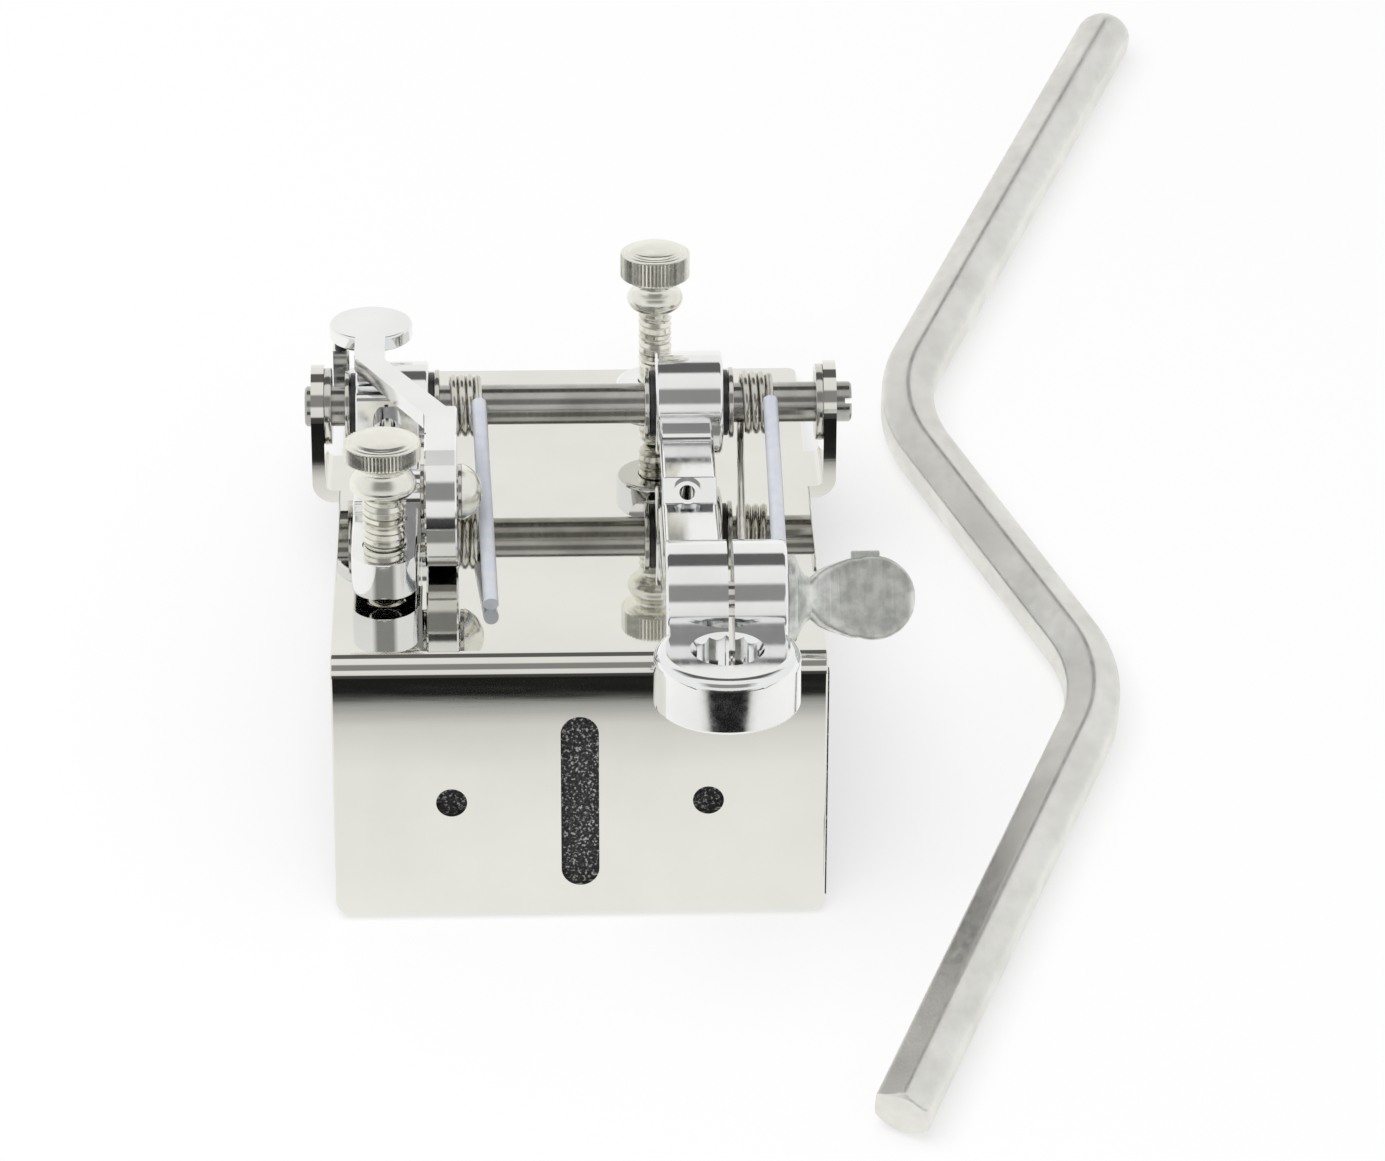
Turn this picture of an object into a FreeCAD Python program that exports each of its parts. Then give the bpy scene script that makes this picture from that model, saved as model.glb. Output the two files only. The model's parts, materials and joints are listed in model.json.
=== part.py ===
import FreeCAD, Part
import math
import os

from FreeCAD import Vector

# Guitar string bender with a drop-tuning toggle and a loose hip bar.
# Everything but the hip bar is modelled in the bracket's own axes: X to the right, Y from the outer
# face of the flange to the back, Z up from the top of the plate. It is then tilted to the attitude in
# which the bracket stands on a table, on the foot of its flange and the rear edge of its plate.
# The origin ends up midway between the two screw holes of the flange, on its outer face.

# Bracket
plateWidth = 69.85
plateDepth = 99.4
plateThickness = 1.9
flangeHeight = 40.8
bendRadius = 2.8
flangeCornerRadius = 2.2
plateCornerRadius = 1.5
edgeRadius = 0.3
strapSlotWidth = 5.4
strapSlotLength = 27.0
screwHoleRadius = 2.2
screwHoleSpacing = 36.4
flangeHolesDepth = 22.7
feltThickness = 1.6
feltRearInset = 4.5
feltFootInset = 1.6
feltSideInset = 0.5
feltProud = 0.3

# Shaft, ears and washers
shaftRadius = 3.0
shaftSetback = 62.1
shaftHeight = 11.0
earClearWidth = 74.0
earHalfLength = 6.2
earBendRadius = 1.2
shaftStubLeft = 1.0
shaftStubRight = 2.4
driverSlotWidth = 0.8
driverSlotDepth = 1.0
pressClearance = 0.01
runningClearance = 0.04
sideGap = 0.1
washerThickness = 0.7
washerRadius = 5.3
earWasherThickness = 1.1
earWasherRadius = 5.7
bushWall = 1.2
bushFlangeThickness = 0.8
bushFlangeRadius = 4.9
bushSleeveLength = 4.2

# Left lever, which carries the bass string
leftHubRadius = 6.6
leftHubRounding = 0.5
leftArmRounding = 0.35
leftHubLeft = -32.3
leftHubWidth = 10.8
leftArmCenter = -27.55
leftArmWidth = 9.4
leftArmBottom = 1.5
leftArmRearTop = 8.7
leftArmFrontTop = 7.0
leftNoseSetback = 15.9
leftStepSetback = 33.5
leftFaceFootSetback = 52.0
leftFaceTopSetback = 54.6
leftFaceTop = 16.2
stringHoleRadius = 1.15
ballSeatRadius = 2.1
ballSeatDepth = 1.0
leftStringSetback = 53.4
leftStringHeight = 12.3
leftStringSlope = 52.0

# Toggle lever with its cam
pivotSetback = 30.5
pivotHeight = 11.65
toggleThickness = 4.6
toggleRight = -17.1
toggleHubGap = 0.6
toggleArmThickness = 2.3
toggleFrontSetback = 25.6
camGap = 0.15
camChamfer = 0.25
padRounding = 0.4
leftSwing = 1.5
toggleSwing = 45.0
toggleElbowSetback = 37.8
toggleNeckSetback = 58.8
toggleNeckWidth = 4.5
padCenterX = -30.15
padSetback = 71.4
padRadius = 6.2
pivotShoulderRadius = 2.2
pivotThreadRadius = 1.7
pivotLugRadius = 3.3
pivotLugWidth = 2.8
toggleWasherThickness = 0.6
pivotHeadRadius = 4.1
pivotHeadHeight = 2.9
restLugLeft = -35.8
restLugWidth = 2.4
restLugSetback = 67.9
restLugDepth = 3.6
restScrewRadius = 0.95
restScrewGap = 0.3

# Thumbscrews
frontScrewSetback = 22.9
frontScrewTip = 1.3
frontThreadRadius = 3.1
frontCollarBottom = 14.8
frontCollarRadius = 4.8
frontHeadBottom = 20.4
frontHeadRadius = 5.5
frontHeadTop = 23.4
rearScrewX = 12.35
rearScrewSetback = 71.9
rearScrewTip = 0.15
rearThreadRadius = 2.55
rearCollarBottom = 22.0
rearCollarRadius = 4.2
rearHeadBottom = 27.2
rearHeadRadius = 5.15
rearHeadTop = 31.5

# Right lever, with the clamp ring for the hip bar
rightHubRadius = 7.75
rightHubRounding = 0.6
rightArmRounding = 0.7
webReach = 12.0
webHollowRadius = 1.8
rightHubLeft = 12.1
rightHubWidth = 10.0
rightArmLeft = 12.5
rightArmWidth = 8.0
rightArmTop = 10.2
rightArmStep = 2.9
rightArmBottom = 4.2
rightStepSetback = 37.8
rightStringX = 16.2
rearBossRadius = 5.85
rearBossBottom = 5.0
rearBossTop = 10.4
clampAxisSetback = 0.0
clampAxisHeight = 9.05
clampBarrelRadius = 8.35
clampLeft = 11.9
clampWidth = 17.0
clampBottom = 4.2
clampSkirtSetback = -1.6
clampSlitX = 21.0
clampSlitWidth = 0.85
ringX = 20.2
ringSetback = -14.1
ringRadius = 10.2
ringTop = 8.5
ringHeight = 8.2
ringTopRounding = 1.6
ringFootRounding = 0.5
socketClearance = 0.15
socketLeadIn = 0.35
clampStudRadius = 2.5
clampStudLength = 16.0
paddleFlangeRadius = 6.1
paddleFlangeThickness = 1.9
paddleNeckRadius = 3.3
paddleNeckLength = 2.0
paddleRounding = 0.5
paddleCenterX = 41.0
paddleRadius = 5.9
paddleThickness = 2.4
paddleLean = 26.2

# Torsion springs and their sleeves
springWireRadius = 0.55
springCoilRadius = 4.25
springTurns = 3.5
springElbow = 1.08
springArcsPerTurn = 4
springPitch = 1.2
leftSpringLeft = -19.0
rightSpringLeft = 24.3
sleeveRadius = 1.1
sleeveHeight = 1.3
sleeveStart = 5.5
sleeveTip = 1.0
sleeveClearance = 0.05
leftSleeveFootX = -12.4
leftSleeveSetback = 15.4
rightSleeveFootX = 29.1
rightSleeveSetback = 15.9
leftHookSetback = 48.4
leftHookDepth = 2.0
rightHookX = 23.5
rightHookDepth = 4.4
rightHookRun = 14.0
springHookHeight = 6.0
hookHoleClearance = 0.15
hookEndGap = 0.3

# Hip bar: a hexagon bar with two bends, lying on the table beside the bracket, one corner up
barAcrossFlats = 8.0
barRearRun = 95.4
barMiddleRun = 64.3
barFrontRun = 85.0
barRearTurn = 51.8
barFrontTurn = 50.7
barBendRadius = 22.0
barHeading = 65.0
barCornerX = 49.2
barCornerY = 80.4
barEndChamfer = 0.9
barChamferSpread = 1.7
barTipInset = 0.25
barCapStartInset = 1.7
barCapTipInset = 0.3
barCapTipDepth = 0.9
barCapRelief = 0.1811978465
barCapDepth = 2.6

# Derived sizes
halfWidth = plateWidth / 2
earInner = earClearWidth / 2
earOuter = earInner + plateThickness
tiltAngle = math.atan2(flangeHeight - plateThickness, plateDepth - plateThickness)
bushRadius = shaftRadius + bushWall
feltCorner = max(bendRadius, plateThickness + feltThickness)
camRadius = pivotHeight - camGap
leverReach = shaftSetback - pivotSetback
camDrop = leverReach * math.sin(math.radians(leftSwing))
toggleLeft = toggleRight - toggleThickness
toggleArmBottom = shaftHeight + leftHubRadius + toggleHubGap
toggleTop = toggleArmBottom + toggleArmThickness
leftArmLeft = leftArmCenter - leftArmWidth / 2
leftArmRight = leftArmCenter + leftArmWidth / 2
pivotLugRight = toggleLeft - toggleWasherThickness - sideGap
barCornerRadius = barAcrossFlats / math.sqrt(3)
socketFlat = barAcrossFlats / 2 + socketClearance
ringBottom = ringTop - ringHeight
parts = {}


def point(x, y, z):
    return Vector(x, y, z)


def block(x0, x1, y0, y1, z0, z1):
    return Part.makeBox(x1 - x0, y1 - y0, z1 - z0, point(x0, y0, z0))


def rodX(radius, x0, x1, y, z):
    return Part.makeCylinder(radius, x1 - x0, point(x0, y, z), Vector(1, 0, 0))


def rodY(radius, y0, y1, x, z):
    return Part.makeCylinder(radius, y1 - y0, point(x, y0, z), Vector(0, 1, 0))


def rodZ(radius, z0, z1, x, y):
    return Part.makeCylinder(radius, z1 - z0, point(x, y, z0))


def rodBetween(radius, start, end):
    return Part.makeCylinder(radius, (end - start).Length, start, end - start)


def tubeX(outer, inner, x0, x1, y, z):
    return rodX(outer, x0, x1, y, z).cut(rodX(inner, x0 - 1, x1 + 1, y, z))


# A closed outline whose corners are (place, radius); a radius of 0 leaves a corner sharp
def roundedOutline(corners):
    count = len(corners)
    starts = []
    ends = []
    for i, (here, radius) in enumerate(corners):
        toPrevious = (corners[i - 1][0] - here).normalize()
        toNext = (corners[(i + 1) % count][0] - here).normalize()
        back = radius / math.tan(toPrevious.getAngle(toNext) / 2)
        starts.append(here + toPrevious * back)
        ends.append(here + toNext * back)
    edges = []
    for i, (here, radius) in enumerate(corners):
        if radius > 0:
            middle = (starts[i] + ends[i]) * 0.5
            inward = (middle - here).normalize()
            reach = math.sqrt((starts[i] - here).Length ** 2 + radius ** 2) - radius
            edges.append(Part.Arc(starts[i], here + inward * reach, ends[i]).toShape())
        after = (i + 1) % count
        edges.append(Part.LineSegment(ends[i], starts[after]).toShape())
    return Part.Wire(edges)


def slabX(corners, x0, x1):
    outline = roundedOutline([(point(x0, y, z), radius) for y, z, radius in corners])
    return Part.Face(outline).extrude(Vector(x1 - x0, 0, 0))


def slabY(corners, y0, y1):
    outline = roundedOutline([(point(x, y0, z), radius) for x, z, radius in corners])
    return Part.Face(outline).extrude(Vector(0, y1 - y0, 0))


def slabZ(corners, z0, z1):
    outline = roundedOutline([(point(x, y, z0), radius) for x, y, radius in corners])
    return Part.Face(outline).extrude(Vector(0, 0, z1 - z0))


# The edges that lie wholly in one of the planes x = value
def edgesAtX(shape, values):
    chosen = []
    for edge in shape.Edges:
        for value in values:
            if abs(edge.BoundBox.XMin - value) < 1e-6 and abs(edge.BoundBox.XMax - value) < 1e-6:
                chosen.append(edge)
    return chosen


def roundedAtX(shape, radius, *values):
    return shape.makeFillet(radius, edgesAtX(shape, values))


def chamferedAtX(shape, size, *values):
    return shape.makeChamfer(size, edgesAtX(shape, values))


# A body turned about a vertical axis from (radius, height) points
def turnedZ(profile, x, y):
    places = [point(x + radius, y, height) for radius, height in profile]
    face = Part.Face(Part.makePolygon(places + [places[0]]))
    return face.revolve(point(x, y, 0), Vector(0, 0, 1), 360)


def fused(*shapes):
    return shapes[0].multiFuse(list(shapes[1:])).removeSplitter()


def makeBracket():
    innerBend = bendRadius - plateThickness
    angle = [
        (0, -flangeHeight, 0),
        (0, 0, bendRadius),
        (plateDepth, 0, 0),
        (plateDepth, -plateThickness, 0),
        (plateThickness, -plateThickness, innerBend),
        (plateThickness, -flangeHeight, 0),
    ]
    sheet = slabX(angle, -halfWidth, halfWidth)
    rearCorners = []
    for edge in sheet.Edges:
        box = edge.BoundBox
        onSide = abs(abs(box.Center.x) - halfWidth) < 1e-6 and box.XLength < 1e-6
        if onSide and box.YMin > plateDepth - 1e-6:
            rearCorners.append(edge)
    sheet = sheet.makeFillet(plateCornerRadius, rearCorners)
    footCorners = []
    for edge in sheet.Edges:
        box = edge.BoundBox
        if abs(abs(box.Center.x) - halfWidth) < 1e-6 and box.ZMax < -flangeHeight + 1e-6:
            footCorners.append(edge)
    sheet = sheet.makeFillet(flangeCornerRadius, footCorners)
    sheet = roundedAtX(sheet, edgeRadius, -halfWidth, halfWidth)
    ears = [makeEar(-1), makeEar(1)]
    whole = fused(sheet, *ears)
    holeReach = 2 * plateThickness
    slotEnd = (strapSlotLength - strapSlotWidth) / 2
    slotHalf = strapSlotWidth / 2
    cutters = [
        block(-slotHalf, slotHalf, -1, holeReach, -flangeHolesDepth - slotEnd, -flangeHolesDepth + slotEnd),
        rodY(slotHalf, -1, holeReach, 0, -flangeHolesDepth - slotEnd),
        rodY(slotHalf, -1, holeReach, 0, -flangeHolesDepth + slotEnd),
        rodY(screwHoleRadius, -1, holeReach, -screwHoleSpacing / 2, -flangeHolesDepth),
        rodY(screwHoleRadius, -1, holeReach, screwHoleSpacing / 2, -flangeHolesDepth),
        rodX(shaftRadius + pressClearance, -earOuter - 1, -earInner + 1, shaftSetback, shaftHeight),
        rodX(shaftRadius + pressClearance, earInner - 1, earOuter + 1, shaftSetback, shaftHeight),
    ]
    return whole.cut(cutters)


# An ear runs out of the plate's side, bends up and ends in a half circle round the shaft
def makeEar(side):
    outerBend = earBendRadius + plateThickness
    top = shaftHeight + earHalfLength
    strip = [
        (side * (halfWidth - 1), -plateThickness, 0),
        (side * earOuter, -plateThickness, outerBend),
        (side * earOuter, top, 0),
        (side * earInner, top, 0),
        (side * earInner, 0, earBendRadius),
        (side * (halfWidth - 1), 0, 0),
    ]
    band = slabY(strip, shaftSetback - earHalfLength, shaftSetback + earHalfLength)
    x0 = min(side * (halfWidth - 2), side * (earOuter + 1))
    x1 = max(side * (halfWidth - 2), side * (earOuter + 1))
    y0 = shaftSetback - earHalfLength
    y1 = shaftSetback + earHalfLength
    keep = block(x0, x1, y0, y1, -2 * plateThickness, shaftHeight)
    keep = keep.fuse(rodX(earHalfLength, x0, x1, shaftSetback, shaftHeight))
    return band.common(keep)


def makeFelt():
    flange = block(-halfWidth + feltSideInset, halfWidth + feltProud, plateThickness,
                   plateThickness + feltThickness, -flangeHeight + feltFootInset, -feltCorner)
    plate = block(-halfWidth + feltSideInset, halfWidth - feltSideInset, feltCorner,
                  plateDepth - feltRearInset, -plateThickness - feltThickness, -plateThickness)
    return flange, plate


def makeShaft():
    rod = rodX(shaftRadius, -earOuter - shaftStubLeft, earOuter + shaftStubRight, shaftSetback, shaftHeight)
    rod = rod.makeChamfer(edgeRadius, [edge for edge in rod.Edges if edge.BoundBox.XLength < 1e-6])
    end = earOuter + shaftStubRight
    half = driverSlotWidth / 2
    slot = block(end - driverSlotDepth, end + 1, -2 * shaftRadius, 2 * shaftRadius, -half, half)
    slot.rotate(Vector(0, 0, 0), Vector(1, 0, 0), -paddleLean)
    slot.translate(Vector(0, shaftSetback, shaftHeight))
    return rod.cut(slot)


def makeWasher(left, thickness, radius):
    bore = shaftRadius + pressClearance
    return tubeX(radius, bore, left, left + thickness, shaftSetback, shaftHeight)


# A flanged bush pressed into a hub from its side face; side is -1 for the left face, 1 for the right
def makeBush(face, side):
    bore = shaftRadius + runningClearance
    inside = face - side * bushSleeveLength
    outside = face + side * bushFlangeThickness
    sleeve = tubeX(bushRadius, bore, min(face, inside), max(face, inside), shaftSetback, shaftHeight)
    flange = tubeX(bushFlangeRadius, bore, min(face, outside), max(face, outside), shaftSetback, shaftHeight)
    return fused(sleeve, flange)


def cutForShaft(shape, x0, x1):
    return shape.cut(rodX(bushRadius, x0 - 1, x1 + 1, shaftSetback, shaftHeight))


# A string hole drilled down and back from its seat; slope is its angle below the horizontal
def stringHole(x, y, z, slope):
    angle = math.radians(slope)
    along = Vector(0, math.cos(angle), -math.sin(angle))
    start = point(x, y, z)
    hole = Part.makeCylinder(stringHoleRadius, 40, start - along * 5, along)
    seat = Part.makeCylinder(ballSeatRadius, ballSeatDepth + 5, start - along * 5, along)
    return hole.fuse(seat)


def makeLeftLever():
    hubRight = leftHubLeft + leftHubWidth
    hub = rodX(leftHubRadius, leftHubLeft, hubRight, shaftSetback, shaftHeight)
    hub = roundedAtX(hub, leftHubRounding, leftHubLeft, hubRight)
    side = [
        (shaftSetback - 1, shaftHeight - leftHubRadius, 0),
        (shaftSetback - 1, leftFaceTop, 0),
        (leftFaceTopSetback, leftFaceTop, 1.4),
        (leftFaceFootSetback, leftArmRearTop, 0.8),
        (leftStepSetback, leftArmRearTop, 0.6),
        (leftStepSetback - 0.3, leftArmFrontTop, 0.5),
        (leftNoseSetback, leftArmFrontTop, 0.4),
        (leftNoseSetback, leftArmBottom, 0.4),
        (leftFaceFootSetback - 4, leftArmBottom, 6.0),
        (shaftSetback - 5, shaftHeight - leftHubRadius, 2.0),
    ]
    arm = slabX(side, leftArmLeft, leftArmRight)
    arm = roundedAtX(arm, leftArmRounding, leftArmLeft, leftArmRight)
    noseRadius = leftArmWidth / 2
    plan = block(leftArmLeft - 1, leftArmRight + 1, leftNoseSetback + noseRadius, shaftSetback, -5, 30)
    plan = plan.fuse(rodZ(noseRadius, -5, 30, leftArmCenter, leftNoseSetback + noseRadius))
    arm = arm.common(plan)
    lugLeft = pivotLugRight - pivotLugWidth
    lug = rodX(pivotLugRadius, lugLeft, pivotLugRight, pivotSetback, pivotHeight)
    lug = lug.fuse(block(lugLeft, pivotLugRight, pivotSetback - pivotLugRadius, pivotSetback + pivotLugRadius,
                         leftArmFrontTop - 2, pivotHeight))
    tieRear = restLugSetback + restLugDepth
    tie = block(restLugLeft, leftArmCenter, restLugSetback, tieRear, shaftHeight - 2, shaftHeight + 2)
    root = block(leftHubLeft + 0.6, leftArmCenter, shaftSetback + bushRadius + 0.3, restLugSetback + 0.5,
                 shaftHeight - 2, shaftHeight + 2)
    postTop = toggleArmBottom - restScrewGap - 0.5
    post = block(restLugLeft, restLugLeft + restLugWidth, restLugSetback, tieRear, shaftHeight - 2, postTop)
    body = fused(hub, arm, lug, tie, root, post)
    body = cutForShaft(body, leftHubLeft, hubRight)
    screwWell = rodZ(frontThreadRadius + runningClearance, -5, 14, leftArmCenter, frontScrewSetback)
    hookHole = rodX(springWireRadius + hookHoleClearance, leftArmRight - leftHookDepth, leftArmRight + 1,
                    leftHookSetback, springHookHeight)
    cutters = [
        screwWell,
        stringHole(leftArmCenter, leftStringSetback, leftStringHeight, leftStringSlope),
        rodX(pivotThreadRadius, lugLeft - 1, pivotLugRight + 1, pivotSetback, pivotHeight),
        rodZ(restScrewRadius, shaftHeight, postTop + 1, restLugLeft + restLugWidth / 2,
             restLugSetback + restLugDepth / 2),
        hookHole,
    ]
    return body.cut(cutters)


# Distance of the cam's edge from the pivot at an angle in degrees towards the front, from straight down
def camEdge(angle):
    reach = camRadius - camDrop * angle / toggleSwing
    turn = math.radians(angle)
    return point(toggleLeft, pivotSetback - reach * math.sin(turn), pivotHeight - reach * math.cos(turn))


def makeToggle():
    camPoints = [camEdge(angle) for angle in range(-10, 141, 10)]
    curve = Part.BSplineCurve()
    curve.interpolate(camPoints)
    armRear = toggleElbowSetback + 3
    outline = [
        camPoints[-1],
        point(toggleLeft, toggleFrontSetback, toggleTop),
        point(toggleLeft, armRear, toggleTop),
        point(toggleLeft, armRear, toggleArmBottom),
        point(toggleLeft, pivotSetback + camRadius * 0.8, pivotHeight),
        camPoints[0],
    ]
    edges = [curve.toShape()]
    for start, end in zip(outline[:-1], outline[1:]):
        edges.append(Part.LineSegment(start, end).toShape())
    cam = Part.Face(Part.Wire(edges)).extrude(Vector(toggleThickness, 0, 0))
    cam = chamferedAtX(cam, camChamfer, toggleLeft, toggleRight)
    neckLeft = padCenterX - toggleNeckWidth / 2
    neckRight = padCenterX + toggleNeckWidth / 2
    plan = [
        (toggleLeft, toggleFrontSetback + 6, 0),
        (toggleLeft, toggleElbowSetback, 3.0),
        (neckLeft, toggleNeckSetback, 4.0),
        (neckLeft, padSetback, 0),
        (neckRight, padSetback, 0),
        (neckRight, toggleNeckSetback - 1, 4.0),
        (toggleRight, toggleElbowSetback, 3.0),
        (toggleRight, toggleFrontSetback + 6, 0),
    ]
    arm = slabZ(plan, toggleArmBottom, toggleTop)
    pad = rodZ(padRadius, toggleArmBottom, toggleTop, padCenterX, padSetback)
    rims = [edge for edge in pad.Edges if edge.BoundBox.ZLength < 1e-6]
    pad = pad.makeFillet(padRounding, rims)
    whole = fused(cam, arm, pad)
    bore = pivotShoulderRadius + runningClearance
    return whole.cut(rodX(bore, toggleLeft - 1, toggleRight + 1, pivotSetback, pivotHeight))


def makeToggleScrew():
    headFace = toggleRight + sideGap + toggleWasherThickness
    dome = (pivotHeadRadius ** 2 + pivotHeadHeight ** 2) / (2 * pivotHeadHeight)
    ball = Part.makeSphere(dome, point(headFace + pivotHeadHeight - dome, pivotSetback, pivotHeight))
    head = ball.common(rodX(2 * pivotHeadRadius, headFace, headFace + pivotHeadHeight, pivotSetback, pivotHeight))
    shoulder = rodX(pivotShoulderRadius, pivotLugRight, headFace, pivotSetback, pivotHeight)
    thread = rodX(pivotThreadRadius, pivotLugRight - pivotLugWidth, pivotLugRight, pivotSetback, pivotHeight)
    return fused(head, shoulder, thread)


def makeToggleWashers():
    inner = pivotShoulderRadius + pressClearance
    outerLeft = toggleRight + sideGap
    near = tubeX(pivotHeadRadius - 0.1, inner, pivotLugRight, pivotLugRight + toggleWasherThickness,
                 pivotSetback, pivotHeight)
    far = tubeX(pivotHeadRadius - 0.1, inner, outerLeft, outerLeft + toggleWasherThickness,
                pivotSetback, pivotHeight)
    return near, far


def makeRestScrew():
    top = toggleArmBottom - restScrewGap
    x = restLugLeft + restLugWidth / 2
    y = restLugSetback + restLugDepth / 2
    return rodZ(restScrewRadius, shaftHeight, top, x, y)


def makeThumbscrew(x, y, tip, thread, collarBottom, collar, headBottom, head, headTop, dome):
    profile = [
        (0, tip),
        (thread - 0.6, tip),
        (thread, tip + 0.6),
        (thread, collarBottom),
        (collar - 0.7, collarBottom + 0.6),
        (collar, collarBottom + 1.7),
        (collar - 0.2, collarBottom + 2.8),
        (thread + 0.6, headBottom - 0.7),
        (head - 0.5, headBottom),
        (head, headBottom + 0.4),
        (head, headTop - 0.4),
        (head - 0.5, headTop),
        (head * 0.55, headTop + dome * 0.75),
        (0, headTop + dome),
    ]
    return turnedZ(profile, x, y)


def makeRightLever():
    hubRight = rightHubLeft + rightHubWidth
    hub = rodX(rightHubRadius, rightHubLeft, hubRight, shaftSetback, shaftHeight)
    hub = roundedAtX(hub, rightHubRounding, rightHubLeft, hubRight)
    frontTop = rightArmTop - rightArmStep
    side = [
        (shaftSetback - 3, rightArmBottom, 0),
        (shaftSetback - 3, rightArmTop, 0),
        (rightStepSetback, rightArmTop, 0.5),
        (rightStepSetback - rightArmStep, frontTop, 0.5),
        (clampAxisSetback + 2, frontTop, 0),
        (clampAxisSetback + 2, rightArmBottom, 0),
    ]
    arm = slabX(side, rightArmLeft, rightArmLeft + rightArmWidth)
    arm = roundedAtX(arm, rightArmRounding, rightArmLeft, rightArmLeft + rightArmWidth)
    web = block(rightArmLeft + 0.5, rightArmLeft + rightArmWidth - 0.5, shaftSetback - webReach, shaftSetback - 5,
                rightArmBottom + 0.5, rightArmTop + 1)
    web = web.cut(rodX(webHollowRadius, rightArmLeft, rightArmLeft + rightArmWidth, shaftSetback - webReach,
                       rightArmTop + webHollowRadius))
    boss = rodZ(rearBossRadius, rearBossBottom, rearBossTop, rearScrewX, rearScrewSetback)
    bossRims = [edge for edge in boss.Edges if edge.BoundBox.ZLength < 1e-6]
    boss = boss.makeFillet(rightHubRounding, bossRims)
    boss = boss.cut(rodX(earWasherRadius, rightHubLeft - 10, rightHubLeft, shaftSetback, shaftHeight))
    clampRight = clampLeft + clampWidth
    barrel = rodX(clampBarrelRadius, clampLeft, clampRight, clampAxisSetback, clampAxisHeight)
    barrel = roundedAtX(barrel, rightHubRounding, clampLeft, clampRight)
    barrel = barrel.cut(block(clampLeft - 1, clampRight + 1, clampSkirtSetback, 20, -20, clampBottom))
    skirt = block(clampLeft + 0.6, clampRight - 0.6, ringSetback + 3, clampSkirtSetback, ringBottom,
                  ringTop)
    ring = rodZ(ringRadius, ringBottom, ringTop, ringX, ringSetback)
    topRim = [edge for edge in ring.Edges if edge.BoundBox.ZMin > ringTop - 1e-6]
    ring = ring.makeFillet(ringTopRounding, topRim)
    bottomRim = [edge for edge in ring.Edges if edge.BoundBox.ZMax < ringBottom + 1e-6]
    ring = ring.makeFillet(ringFootRounding, bottomRim)
    body = fused(hub, arm, web, boss, barrel, skirt, ring)
    body = cutForShaft(body, rightHubLeft, hubRight)
    slitLeft = clampSlitX - clampSlitWidth / 2
    slitRight = clampSlitX + clampSlitWidth / 2
    hookY = clampAxisSetback + clampBarrelRadius - rightHookDepth
    cutters = [
        makeSocketCutter(),
        block(slitLeft, slitRight, ringSetback, 30, -20, 30),
        rodX(clampStudRadius + runningClearance, clampLeft + 1.0, clampRight + 1, clampAxisSetback,
             clampAxisHeight),
        rodZ(rearThreadRadius + runningClearance, -5, 30, rearScrewX, rearScrewSetback),
        stringHole(rightStringX, rightStepSetback - rightArmStep / 2, rightArmTop - rightArmStep / 2, 45),
        rodY(springWireRadius + hookHoleClearance, hookY, 20, rightHookX, springHookHeight),
    ]
    return body.cut(cutters)


# Twelve-point socket: two hexagons turned by 30 degrees, with a conical lead-in at each end
def makeSocketCutter():
    hexagons = []
    corner = socketFlat * 2 / math.sqrt(3)
    for turn in (0, 30):
        places = []
        for i in range(7):
            angle = math.radians(turn + 60 * i)
            places.append(point(ringX + corner * math.cos(angle), ringSetback + corner * math.sin(angle),
                                ringBottom - 1))
        hexagons.append(Part.Face(Part.makePolygon(places)).extrude(Vector(0, 0, ringHeight + 12)))
    wide = corner + socketLeadIn
    leadTop = Part.makeCone(corner - 0.4, wide, socketLeadIn + 0.4, point(ringX, ringSetback, ringTop - 0.75))
    leadTop = leadTop.fuse(rodZ(wide, ringTop, ringTop + 12, ringX, ringSetback))
    return hexagons[0].fuse([hexagons[1], leadTop])


def makeClampScrew():
    clampRight = clampLeft + clampWidth
    flangeLeft = clampRight + sideGap
    flangeRight = flangeLeft + paddleFlangeThickness
    flange = rodX(paddleFlangeRadius, flangeLeft, flangeRight, clampAxisSetback, clampAxisHeight)
    flange = roundedAtX(flange, rightHubRounding, flangeRight)
    neck = rodX(paddleNeckRadius, flangeRight, flangeRight + paddleNeckLength, clampAxisSetback, clampAxisHeight)
    half = paddleThickness / 2
    disc = Part.makeCylinder(paddleRadius, paddleThickness, point(paddleCenterX, 0, -half))
    disc = disc.makeFillet(paddleRounding, [edge for edge in disc.Edges if edge.BoundBox.ZLength < 1e-6])
    taper = Part.makeCone(paddleNeckRadius, half, paddleCenterX - flangeRight - paddleNeckLength,
                          point(flangeRight, 0, 0), Vector(1, 0, 0))
    blade = disc.fuse(taper)
    blade.rotate(Vector(0, 0, 0), Vector(1, 0, 0), 90 - paddleLean)
    blade.translate(Vector(0, clampAxisSetback, clampAxisHeight))
    paddle = fused(flange, neck, blade)
    studLeft = clampRight - clampStudLength
    stud = rodX(clampStudRadius, studLeft, flangeLeft, clampAxisSetback, clampAxisHeight)
    return paddle, stud


# A torsion spring: a coil round the shaft, with a leg from each end through the given places
def makeSpring(left, plateLeg, leverLeg):
    step = 1 / springArcsPerTurn
    arcs = []
    for i in range(int(springTurns * springArcsPerTurn)):
        places = [coilPlace(left, (i + share) * step) for share in (0, 0.5, 1)]
        arcs.append(Part.Arc(*places).toShape())
    along = arcs[0].tangentAt(arcs[0].FirstParameter)
    section = Part.Wire(Part.makeCircle(springWireRadius, coilPlace(left, 0), along))
    coil = Part.Wire(arcs).makePipeShell([section], True, False)
    pieces = []
    for leg in (plateLeg, leverLeg):
        for start, end in zip(leg[:-1], leg[1:]):
            pieces.append(rodBetween(springWireRadius, start, end))
            pieces.append(Part.makeSphere(springWireRadius * springElbow, start))
    return coil.multiFuse(pieces)


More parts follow.
